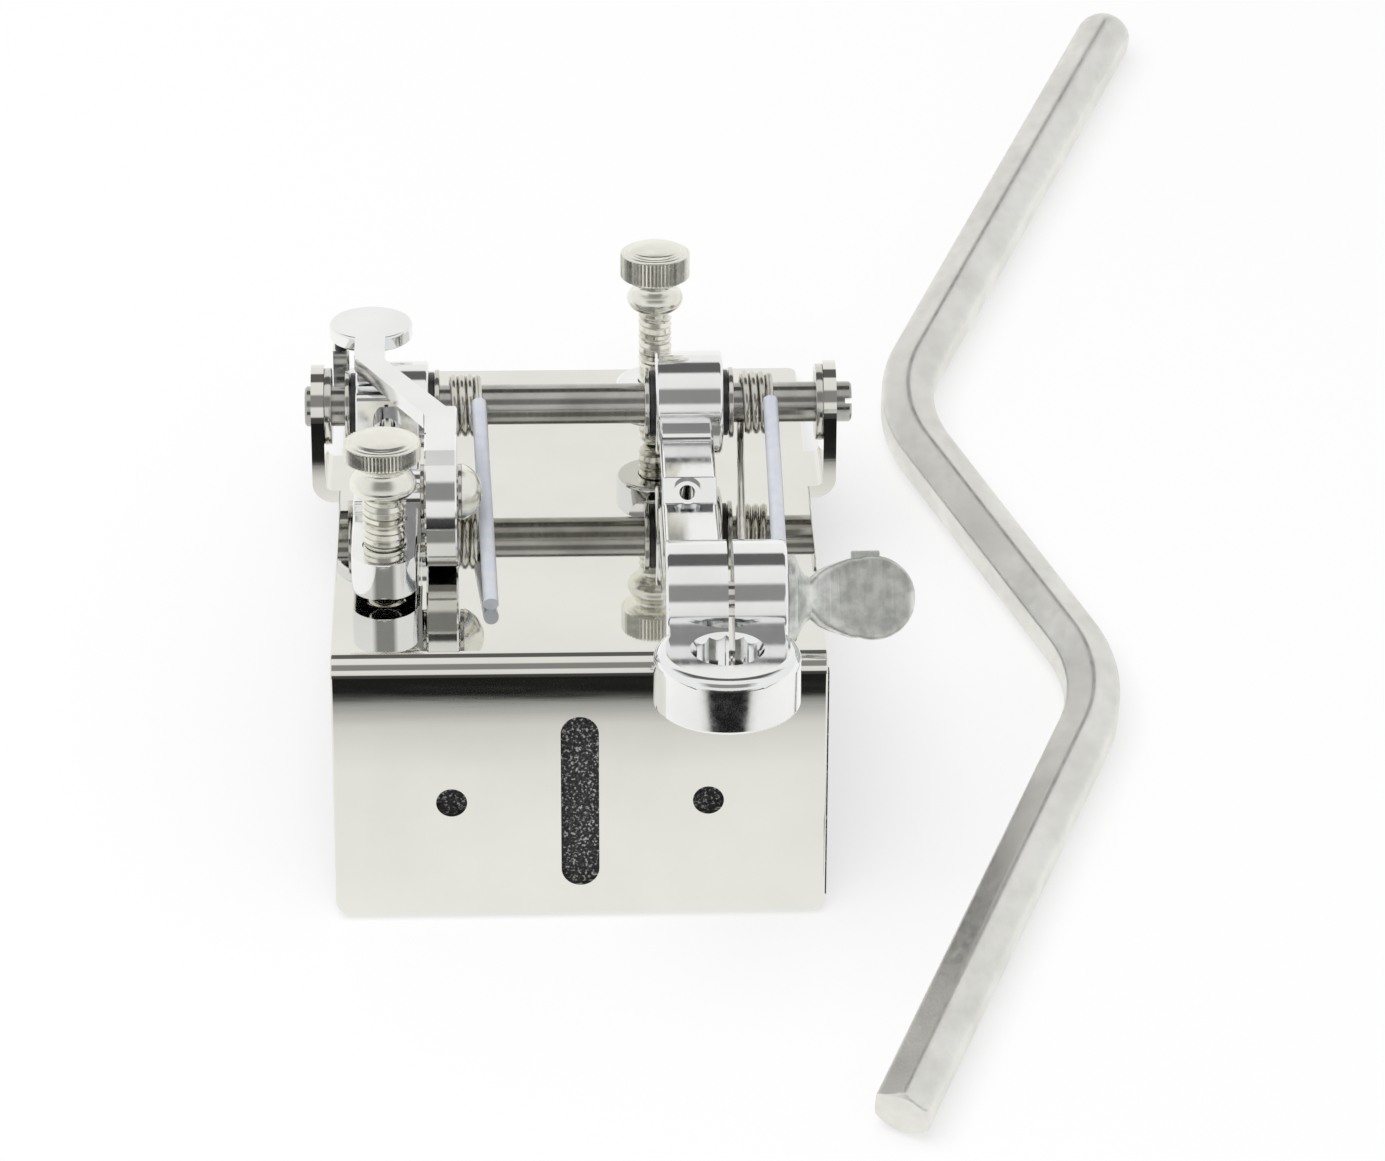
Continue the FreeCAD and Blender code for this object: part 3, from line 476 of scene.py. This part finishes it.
# Soft corners for a turned profile: each inner corner gives way to a short arc
def softProfile(profile, radius, steps=3):
    smooth = [profile[0]]
    for before, here, after in zip(profile[:-2], profile[1:-1], profile[2:]):
        place = Vector(here)
        back = Vector(before) - place
        ahead = Vector(after) - place
        reach = min(radius, back.length / 2.2, ahead.length / 2.2)
        start = place + back.normalized() * reach
        end = place + ahead.normalized() * reach
        for i in range(steps + 1):
            share = i / steps
            smooth.append(tuple(start.lerp(place, share).lerp(place.lerp(end, share), share)))
    smooth.append(profile[-1])
    return smooth


frontThumbscrew = {
    "x": -27.55, "y": 22.9, "core": 2.62, "tip": 1.3, "thread": 3.1, "threadTop": 14.3, "pitch": 0.86,
    "head": 5.5, "headBottom": 20.4, "headTop": 23.4, "dome": 0.7, "knurls": 62, "knurl": 0.30,
    "neck": [(3.0, 14.9), (4.1, 15.4), (4.75, 16.2), (4.8, 16.9), (4.5, 17.7), (3.9, 18.6), (3.7, 19.3),
             (3.95, 19.9), (4.7, 20.3)]}
rearThumbscrew = {
    "x": 12.35, "y": 71.9, "core": 2.1, "tip": 0.15, "thread": 2.55, "threadTop": 21.4, "pitch": 0.86,
    "head": 5.15, "headBottom": 27.2, "headTop": 31.5, "dome": 0.9, "knurls": 54, "knurl": 0.30,
    "neck": [(2.5, 22.1), (3.5, 22.5), (4.1, 23.3), (4.2, 24.1), (3.9, 24.9), (3.2, 25.6), (3.0, 26.3),
             (3.4, 26.8), (4.4, 27.1)]}


def makeThumbscrew(name, size, node, body):
    rim = size["head"] - size["knurl"] * 0.9
    top = size["headTop"]
    profile = [(0, size["tip"]), (size["core"] - 0.5, size["tip"]), (size["core"], size["tip"] + 0.5),
               (size["core"], size["neck"][0][1] - 0.3)]
    profile += size["neck"]
    profile += [(rim - 0.45, size["headBottom"]), (rim, size["headBottom"] + 0.35), (rim, top - 0.4),
                (rim - 0.4, top), (rim - 0.9, top + 0.02), (rim * 0.75, top + size["dome"] * 0.42),
                (rim * 0.5, top + size["dome"] * 0.75), (rim * 0.25, top + size["dome"] * 0.93),
                (0, top + size["dome"] * 0.97)]
    source = addObject(name + "_source", latheMesh(name + "_core", softProfile(profile, 0.3), 96))
    threadLength = size["threadTop"] - size["tip"] - 1.0
    mesh = runTree(source, screwTree, {
        "Head Radius": rim - 0.02, "Head Middle": (size["headBottom"] + top) / 2,
        "Knurl Length": top - size["headBottom"] - 0.7, "Knurl Radius": size["knurl"],
        "Thread Radius": size["core"] - 0.02, "Thread Start": size["tip"] + 0.7,
        "Thread Length": threadLength, "Thread Depth": size["thread"] - size["core"],
        "Knurls": size["knurls"], "Turns": threadLength / size["pitch"], "Material": looks["turnedNickel"]})
    bpy.data.objects.remove(source)
    mesh.name = name
    mesh.transform(toFrame @ Matrix.Translation((size["x"], size["y"], 0)))
    smoothShade(mesh, 30)
    piece = addObject(name, mesh)
    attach(piece, body)
    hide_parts(node)
    return piece


makeThumbscrew("front_thumbscrew_turned", frontThumbscrew, "front_thumbscrew", "front_screw_body")
makeThumbscrew("rear_thumbscrew_turned", rearThumbscrew, "rear_thumbscrew", "rear_screw_body")
print("thumbscrews turned")


shaftLine = {"setback": 62.1, "height": 11.0}
springWire = {"radius": 0.55, "coil": 4.25, "turns": 3.5, "pitch": 1.2, "perTurn": 40}
leftSpring = {"left": -19.0, "foot": (-12.4, 16.4, 1.3),
              "hook": [(None, 48.4, 6.0), (-24.55, 48.4, 6.0)]}
rightSpring = {"left": 24.3, "foot": (29.1, 16.9, 1.3),
               "hook": [(23.5, 18.25, 6.0), (23.5, 4.25, 6.0)]}


def coilPlace(left, turns):
    angle = 2 * math.pi * turns
    return Vector((left + springWire["radius"] + springWire["pitch"] * turns,
                   shaftLine["setback"] + springWire["coil"] * math.sin(angle),
                   shaftLine["height"] - springWire["coil"] * math.cos(angle)))


def roundedPath(places, radius, steps=5):
    path = [places[0]]
    for before, here, after in zip(places[:-2], places[1:-1], places[2:]):
        start = here + (before - here).normalized() * radius
        end = here + (after - here).normalized() * radius
        for i in range(steps + 1):
            share = i / steps
            path.append(start.lerp(here, share).lerp(here.lerp(end, share), share))
    path.append(places[-1])
    return path


def makeSpring(name, size, node):
    count = int(springWire["turns"] * springWire["perTurn"])
    coil = [coilPlace(size["left"], i / springWire["perTurn"]) for i in range(count + 1)]
    foot = Vector(size["foot"])
    toFoot = roundedPath([coil[-6], coil[-1], foot], 0.4)
    values = {"Radius": springWire["radius"], "Rounding": 0.0, "Turn": 0.0, "Sides": 14,
              "Material": looks["springWire"]}
    path = [(place, 1.0) for place in coil[:-6] + toFoot]
    wound = sweepPiece(name + "_coil", path, values, "MINIMUM", toFrame)
    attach(wound, "root")
    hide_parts(node)
    bottom = coil[0]
    hook = [Vector((bottom.x if x is None else x, y, z)) for x, y, z in size["hook"]]
    leg = [(place, 1.0) for place in roundedPath([bottom] + hook, 0.9)]
    leverLeg = sweepPiece(name + "_lever_leg", leg, values, "MINIMUM", toFrame)
    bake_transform(leverLeg)


makeSpring("left_spring_wire", leftSpring, "left_spring")
makeSpring("right_spring_wire", rightSpring, "right_spring")
print("springs wound")


# Each ring has the same number of places; a closed end gets a middle point
def ringMesh(name, rings):
    count = len(rings[0])
    verts = [place for ring in rings for place in ring]
    faces = []
    for i in range(len(rings) - 1):
        for j in range(count):
            after = (j + 1) % count
            faces.append((i * count + j, i * count + after, (i + 1) * count + after, (i + 1) * count + j))
    for start, backwards in ((0, True), ((len(rings) - 1) * count, False)):
        middle = sum((Vector(verts[start + j]) for j in range(count)), Vector()) / count
        verts.append(middle)
        for j in range(count):
            pair = (start + j, start + (j + 1) % count)
            faces.append((*(reversed(pair) if backwards else pair), len(verts) - 1))
    mesh = bpy.data.meshes.new(name)
    mesh.from_pydata([tuple(place) for place in verts], [], faces)
    return outward(mesh)


mergeDistance = 1e-5


def outward(mesh):
    work = bmesh.new()
    work.from_mesh(mesh)
    bmesh.ops.remove_doubles(work, verts=work.verts, dist=mergeDistance)
    bmesh.ops.recalc_face_normals(work, faces=work.faces)
    work.to_mesh(mesh)
    work.free()
    return mesh


washerLook = {"softness": 0.14, "around": 96}
washerBores = {"shaft": 3.02, "pivot": 2.22}
bushSizes = {"flange": 0.8, "sleeve": 4.2}


def bodyOf(node):
    for body, members in frame["record"]["behaviour"]["bodies"].items():
        if node in members:
            return body
    return "root"


def ringAboutX(name, sections, middle, around):
    rings = []
    angles = [2 * math.pi * i / around for i in range(around)]
    for x, radius in sections:
        rings.append([Vector((x, middle[0] + radius * math.cos(angle), middle[1] + radius * math.sin(angle)))
                      for angle in angles])
    rings.append(rings[0])
    verts = [place for ring in rings for place in ring]
    faces = []
    for i in range(len(rings) - 1):
        for j in range(around):
            after = (j + 1) % around
            faces.append((i * around + j, i * around + after, (i + 1) * around + after, (i + 1) * around + j))
    mesh = bpy.data.meshes.new(name)
    mesh.from_pydata([tuple(place * mm) for place in verts], [], faces)
    return outward(mesh)


# A flat ring between two places along X, with softened rims
def washerSections(left, right, outer, inner):
    soft = min(washerLook["softness"], (right - left) / 3)
    turn = soft * (1 - math.sqrt(0.5))
    return [(left, inner), (left, outer - soft), (left + turn, outer - turn), (left + soft, outer),
            (right - soft, outer), (right - turn, outer - turn), (right, outer - soft), (right, inner)]


def makeWashers():
    turned = [name for name in nodes if "washer" in name or "bush" in name]
    for name in turned:
        low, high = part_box(name)
        outer = (high.y - low.y) / 2 / mm
        middle = ((high.y + low.y) / 2 / mm, (high.z + low.z) / 2 / mm)
        left, right = low.x / mm, high.x / mm
        inner = washerBores["pivot"] if name.startswith("toggle") else washerBores["shaft"]
        if "bush" in name:
            flangeOnLeft = name in ("left_lever_outer_bush", "right_lever_inner_bush")
            flat = bushSizes["flange"]
            sections = washerSections(left, left + flat, outer, inner) if flangeOnLeft else (
                washerSections(right - flat, right, outer, inner))
            reach = [(right, bushSizes["sleeve"]), (right, inner)] if flangeOnLeft else [
                (left, inner), (left, bushSizes["sleeve"])]
            if flangeOnLeft:
                sections = sections[:-1] + [(left + flat, bushSizes["sleeve"])] + reach
            else:
                sections = reach + [(right - flat, bushSizes["sleeve"])] + sections[1:]
        else:
            sections = washerSections(left, right, outer, inner)
        mesh = ringAboutX(name + "_turned", sections, middle, washerLook["around"])
        smoothShade(mesh, 30)
        mesh.materials.append(looks[lookOf(name)])
        piece = addObject(mesh.name, mesh)
        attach(piece, bodyOf(name))
        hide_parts(name)


makeWashers()
print("washers turned")


hipBar = {"flats": 8.0, "rear": 95.4, "middle": 64.3, "front": 85.0, "rearTurn": 51.8, "frontTurn": 50.7,
          "bend": 22.0, "heading": 65.0, "cornerX": 49.2, "cornerY": 80.4, "tipRadius": 3.75,
          "tipSpread": 1.7, "softness": 0.6, "bendSteps": 24, "around": 72,
          "cap": [(0.0, 2.0), (0.06, 2.25), (0.2, 2.5), (0.5, 3.0), (0.9, 3.6), (1.4, 3.9), (2.2, 4.25),
                  (3.5, 4.7)]}


def heading(degrees):
    return Vector((math.cos(math.radians(degrees)), math.sin(math.radians(degrees)), 0))


# Distance of the softened hexagon's edge from its middle, with a corner at angle 0
def hexagonReach(angle):
    flat = hipBar["flats"] / 2
    soft = hipBar["softness"]
    fromFlat = (angle % (math.pi / 3)) - math.pi / 6
    straight = flat / math.cos(fromFlat)
    roundMiddle = (flat - soft) / math.cos(math.pi / 6)
    fromCorner = math.pi / 6 - abs(fromFlat)
    inside = soft ** 2 - (roundMiddle * math.sin(fromCorner)) ** 2
    if inside <= 0:
        return straight
    return min(straight, roundMiddle * math.cos(fromCorner) + math.sqrt(inside))


# Places along the bar as (place, heading, largest reach allowed by its ends)
def barStations():
    corner = hipBar["flats"] / math.sqrt(3)
    bend = hipBar["bend"]
    rearCut = bend * math.tan(math.radians(hipBar["rearTurn"] / 2))
    frontCut = bend * math.tan(math.radians(hipBar["frontTurn"] / 2))
    aim = hipBar["heading"] + 180
    place = Vector((hipBar["cornerX"], hipBar["cornerY"], corner)) - heading(aim) * hipBar["rear"]
    stations = []
    for depth, reach in hipBar["cap"]:
        stations.append((place + heading(aim) * depth, aim, reach))
    place = place + heading(aim) * (hipBar["rear"] - rearCut)
    for turn, run in ((hipBar["rearTurn"], hipBar["middle"] - rearCut - frontCut),
                      (-hipBar["frontTurn"], hipBar["front"] - frontCut)):
        side = math.copysign(90, turn)
        middle = place + heading(aim + side) * bend
        for i in range(hipBar["bendSteps"] + 1):
            along = aim + turn * i / hipBar["bendSteps"]
            stations.append((middle - heading(along + side) * bend, along, 2 * corner))
        aim += turn
        place = stations[-1][0] + heading(aim) * run
    for back in (0.9, 0.7, 0.55, 0.4, 0.25, 0.12, 0.03):
        stations.append((place - heading(aim) * back, aim, hipBar["tipRadius"] + hipBar["tipSpread"] * back))
    stations.append((place, aim, hipBar["tipRadius"] - 0.08))
    return stations


def makeHipBar():
    rings = []
    for place, aim, limit in barStations():
        across = heading(aim + 90)
        ring = []
        for i in range(hipBar["around"]):
            angle = 2 * math.pi * i / hipBar["around"]
            reach = min(hexagonReach(angle), limit)
            ring.append(place + across * (reach * math.sin(angle)) + Vector((0, 0, reach * math.cos(angle))))
        rings.append(ring)
    mesh = ringMesh("hip_bar_drawn", rings)
    behind = bracketAxes["drop"] * math.sin(math.radians(bracketAxes["tilt"]))
    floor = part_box("hip_bar")[0][2]
    mesh.transform(Matrix.Translation((0, behind * mm, floor)) @ Matrix.Scale(mm, 4))
    smoothShade(mesh, 40)
    mesh.materials.append(looks["satinNickel"])
    piece = addObject("hip_bar_drawn", mesh)
    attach(piece, "hip_bar_body")
    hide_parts("hip_bar")


makeHipBar()
print("hip bar drawn")


# Its sections along X as (place, half width, half thickness, squareness)
clampPaddle = {
    "edgeSharpness": 24,
    "neck": [(29.0, 6.0, 6.0, 2.0), (29.05, 6.1, 6.1, 2.0), (29.9, 6.1, 6.1, 2.0), (30.25, 5.9, 5.9, 2.0),
             (30.5, 5.2, 5.2, 2.0), (30.9, 4.3, 4.25, 2.0), (31.5, 3.4, 3.3, 2.0), (32.2, 2.95, 2.7, 2.0),
             (32.7, 3.35, 2.4, 2.3), (33.4, 3.95, 2.1, 2.8), (34.5, 4.47, 1.75, 3.4), (35.6, 4.85, 1.45, 4.2),
             (36.7, 5.22, 1.26, 5.2), (37.8, 5.55, 1.2, 7.0)],
    "middle": 41.0, "radius": 5.9, "thick": 1.2, "discSteps": 22, "squareness": 9.0, "around": 96,
    "lean": 63.8, "height": 9.05,
    "tab": {"x": 40.0, "across": 5.75, "half": (2.0, 0.85, 0.75), "squareness": 6.0, "around": 32}}


def roundedSection(x, wide, thick, squareness, count):
    ring = []
    for i in range(count):
        angle = 2 * math.pi * i / count
        share = 2 / squareness
        y = math.copysign(abs(math.cos(angle)) ** share, math.cos(angle)) * wide
        z = math.copysign(abs(math.sin(angle)) ** share, math.sin(angle)) * thick
        ring.append(Vector((x, y, z)))
    return ring


def makePaddle():
    size = clampPaddle
    sections = list(size["neck"])
    lastX = sections[-1][0]
    far = size["middle"] + size["radius"]
    for i in range(1, size["discSteps"]):
        x = lastX + (far - lastX) * math.sin(math.pi / 2 * i / size["discSteps"])
        wide = math.sqrt(size["radius"] ** 2 - (x - size["middle"]) ** 2)
        wide = max(wide, sections[-1][1]) if x < size["middle"] else wide
        thin = size["thick"] * min(1, math.sqrt(1 - ((x - lastX) / (far - lastX)) ** size["edgeSharpness"]))
        sections.append((x, wide, thin, size["squareness"]))
    paddle = ringMesh("clamp_paddle_cast", [roundedSection(*row, size["around"]) for row in sections])
    tab = size["tab"]
    half = tab["half"]
    # The place along the tab and the share of its full section there, which softens both ends
    rows = [(-1.0, 0.8), (-0.93, 1.0), (0.93, 1.0), (1.0, 0.8)]
    step = ringMesh("paddle_tab", [
        roundedSection(tab["x"] + half[0] * along, half[1] * share, half[2] * share,
                       tab["squareness"], tab["around"])
        for along, share in rows])
    step.transform(Matrix.Translation((0, tab["across"], 0)))
    place = toFrame @ Matrix.Translation((0, 0, size["height"])) @ Matrix.Rotation(
        math.radians(size["lean"]), 4, "X")
    for mesh in (paddle, step):
        mesh.transform(place)
        smoothShade(mesh, 40)
        mesh.materials.append(looks["brushedPaddle"])
        piece = addObject(mesh.name, mesh)
        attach(piece, "clamp_screw_body")
        if mesh == paddle:
            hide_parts("clamp_paddle")


makePaddle()
print("clamp paddle cast")


stageLook = {
    "floorSize": 3.0,
    "floorLift": -0.0003,
    "floorGrey": 0.86,
    "floorWhiteShare": 0.62,
    "bandReach": 0.5,
    "lampPlace": (-0.25, -0.1, 1.1),
    "lampTurn": (4, -12, 0),
    "lampSize": 0.9,
    "lampPower": 9.0,
    "softLevel": 0.62,
}
# What polished metal sees of the floor, from the front end of the bands (0) to the object (1)
floorBands = [
    (0.0, (0.012, 0.012, 0.012)), (0.33, (0.015, 0.015, 0.015)), (0.35, (0.34, 0.34, 0.33)),
    (0.44, (0.74, 0.74, 0.72)), (0.6, (0.90, 0.90, 0.88)), (1.0, (0.97, 0.97, 0.95))]
floorHeight = min(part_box(name)[0][2] for name in nodes) + stageLook["floorLift"]


def makeFloor():
    half = stageLook["floorSize"] / 2
    corners = [(-half, -half), (half, -half), (half, half), (-half, half)]
    mesh = bpy.data.meshes.new("floor")
    mesh.from_pydata([(x, y, floorHeight) for x, y in corners], [], [(0, 1, 2, 3)])
    floor = addObject("floor", mesh)
    material = bpy.data.materials.new("paleFloor")
    material.use_nodes = True
    tree = material.node_tree
    tree.nodes.clear()
    link = tree.links.new
    output = addNode(tree, "ShaderNodeOutputMaterial")
    path = addNode(tree, "ShaderNodeLightPath")
    matte = addNode(tree, "ShaderNodeBsdfDiffuse")
    grey = stageLook["floorGrey"]
    matte.inputs["Color"].default_value = paint(grey, grey, grey)
    white = addNode(tree, "ShaderNodeEmission")
    white.inputs["Strength"].default_value = 1.0
    lifted = addNode(tree, "ShaderNodeMixShader")
    lifted.inputs["Fac"].default_value = stageLook["floorWhiteShare"]
    link(matte.outputs["BSDF"], lifted.inputs[1])
    link(white.outputs["Emission"], lifted.inputs[2])
    seen = addNode(tree, "ShaderNodeEmission")
    coordinate = addNode(tree, "ShaderNodeTexCoord")
    split = addNode(tree, "ShaderNodeSeparateXYZ")
    link(coordinate.outputs["Object"], split.inputs["Vector"])
    far = addRange(tree, split.outputs["Y"], 0.0, 1.0, -stageLook["bandReach"], 0.0)
    ramp = addRamp(tree, far.outputs["Result"], [(place, paint(*colour)) for place, colour in floorBands])
    link(ramp.outputs["Color"], seen.inputs["Color"])
    glossy = addNode(tree, "ShaderNodeMixShader")
    camera = addNode(tree, "ShaderNodeMixShader")
    link(path.outputs["Is Glossy Ray"], glossy.inputs["Fac"])
    link(matte.outputs["BSDF"], glossy.inputs[1])
    link(seen.outputs["Emission"], glossy.inputs[2])
    link(path.outputs["Is Camera Ray"], camera.inputs["Fac"])
    link(glossy.outputs["Shader"], camera.inputs[1])
    link(lifted.outputs["Shader"], camera.inputs[2])
    link(camera.outputs["Shader"], output.inputs["Surface"])
    floor.data.materials.append(material)


# What polished metal sees, by the angle from the rear horizon (0) over the top (0.5) to the front (1)
studioBands = [
    (0.00, 0.92), (0.17, 0.90), (0.195, 0.12), (0.345, 0.12), (0.37, 0.88), (0.555, 0.86), (0.59, 0.27),
    (0.745, 0.27), (0.775, 0.86), (0.905, 0.80), (0.93, 0.07), (1.00, 0.04)]
bandTint = (1.0, 0.995, 0.975)
sideLight = {"from": 0.42, "to": 0.66, "level": 0.88}


def makeWorld():
    world = bpy.data.worlds.new("studio")
    bpy.context.scene.world = world
    world.use_nodes = True
    tree = world.node_tree
    tree.nodes.clear()
    link = tree.links.new
    output = addNode(tree, "ShaderNodeOutputWorld")
    path = addNode(tree, "ShaderNodeLightPath")
    coordinate = addNode(tree, "ShaderNodeTexCoord")
    split = addNode(tree, "ShaderNodeSeparateXYZ")
    link(coordinate.outputs["Generated"], split.inputs["Vector"])
    angle = addNode(tree, "ShaderNodeMath", operation="ARCTAN2")
    link(split.outputs["Z"], angle.inputs[0])
    link(split.outputs["Y"], angle.inputs[1])
    size = addNode(tree, "ShaderNodeMath", operation="ABSOLUTE")
    link(angle.outputs["Value"], size.inputs[0])
    share = addNode(tree, "ShaderNodeMath", operation="DIVIDE")
    share.inputs[1].default_value = math.pi
    link(size.outputs["Value"], share.inputs[0])
    ramp = addRamp(tree, share.outputs["Value"], [
        (place, paint(*[value * share for share in bandTint])) for place, value in studioBands])
    sideways = addNode(tree, "ShaderNodeMath", operation="ABSOLUTE")
    link(split.outputs["X"], sideways.inputs[0])
    sideShare = addRange(tree, sideways.outputs["Value"], 0.0, 1.0, sideLight["from"], sideLight["to"])
    spread = addNode(tree, "ShaderNodeMix", data_type="RGBA")
    spread.inputs[7].default_value = paint(sideLight["level"], sideLight["level"], sideLight["level"])
    link(sideShare.outputs["Result"], spread.inputs[0])
    link(ramp.outputs["Color"], spread.inputs[6])
    bands = addNode(tree, "ShaderNodeBackground")
    link(spread.outputs[2], bands.inputs["Color"])
    soft = addNode(tree, "ShaderNodeBackground")
    level = stageLook["softLevel"]
    soft.inputs["Color"].default_value = paint(level, level, level)
    white = addNode(tree, "ShaderNodeBackground")
    white.inputs["Color"].default_value = paint(1, 1, 1)
    glossy = addNode(tree, "ShaderNodeMixShader")
    camera = addNode(tree, "ShaderNodeMixShader")
    link(path.outputs["Is Glossy Ray"], glossy.inputs["Fac"])
    link(soft.outputs["Background"], glossy.inputs[1])
    link(bands.outputs["Background"], glossy.inputs[2])
    link(path.outputs["Is Camera Ray"], camera.inputs["Fac"])
    link(glossy.outputs["Shader"], camera.inputs[1])
    link(white.outputs["Background"], camera.inputs[2])
    link(camera.outputs["Shader"], output.inputs["Surface"])


def makeLamp():
    light = bpy.data.lights.new("softTop", "AREA")
    light.size = stageLook["lampSize"]
    light.energy = stageLook["lampPower"]
    lamp = addObject("softTop", light)
    lamp.location = stageLook["lampPlace"]
    lamp.rotation_euler = [math.radians(angle) for angle in stageLook["lampTurn"]]
    lamp.visible_glossy = False


cameraSet = {
    "location": (-0.006952, -0.517796, 0.620242),
    "turn": (42.08597, -0.82738, -1.54067),
    "lens": 148.029,
    "sensor": 36,
    "clipStart": 0.01,
}


def makeCamera():
    data = bpy.data.cameras.new("studioCamera")
    data.lens = cameraSet["lens"]
    data.sensor_width = cameraSet["sensor"]
    data.clip_start = cameraSet["clipStart"]
    camera = addObject("studioCamera", data)
    camera.location = cameraSet["location"]
    camera.rotation_euler = [math.radians(angle) for angle in cameraSet["turn"]]
    bpy.context.scene.camera = camera


makeFloor()
makeWorld()
makeLamp()
makeCamera()
bpy.context.scene.view_settings.view_transform = "Standard"
print("stage set")
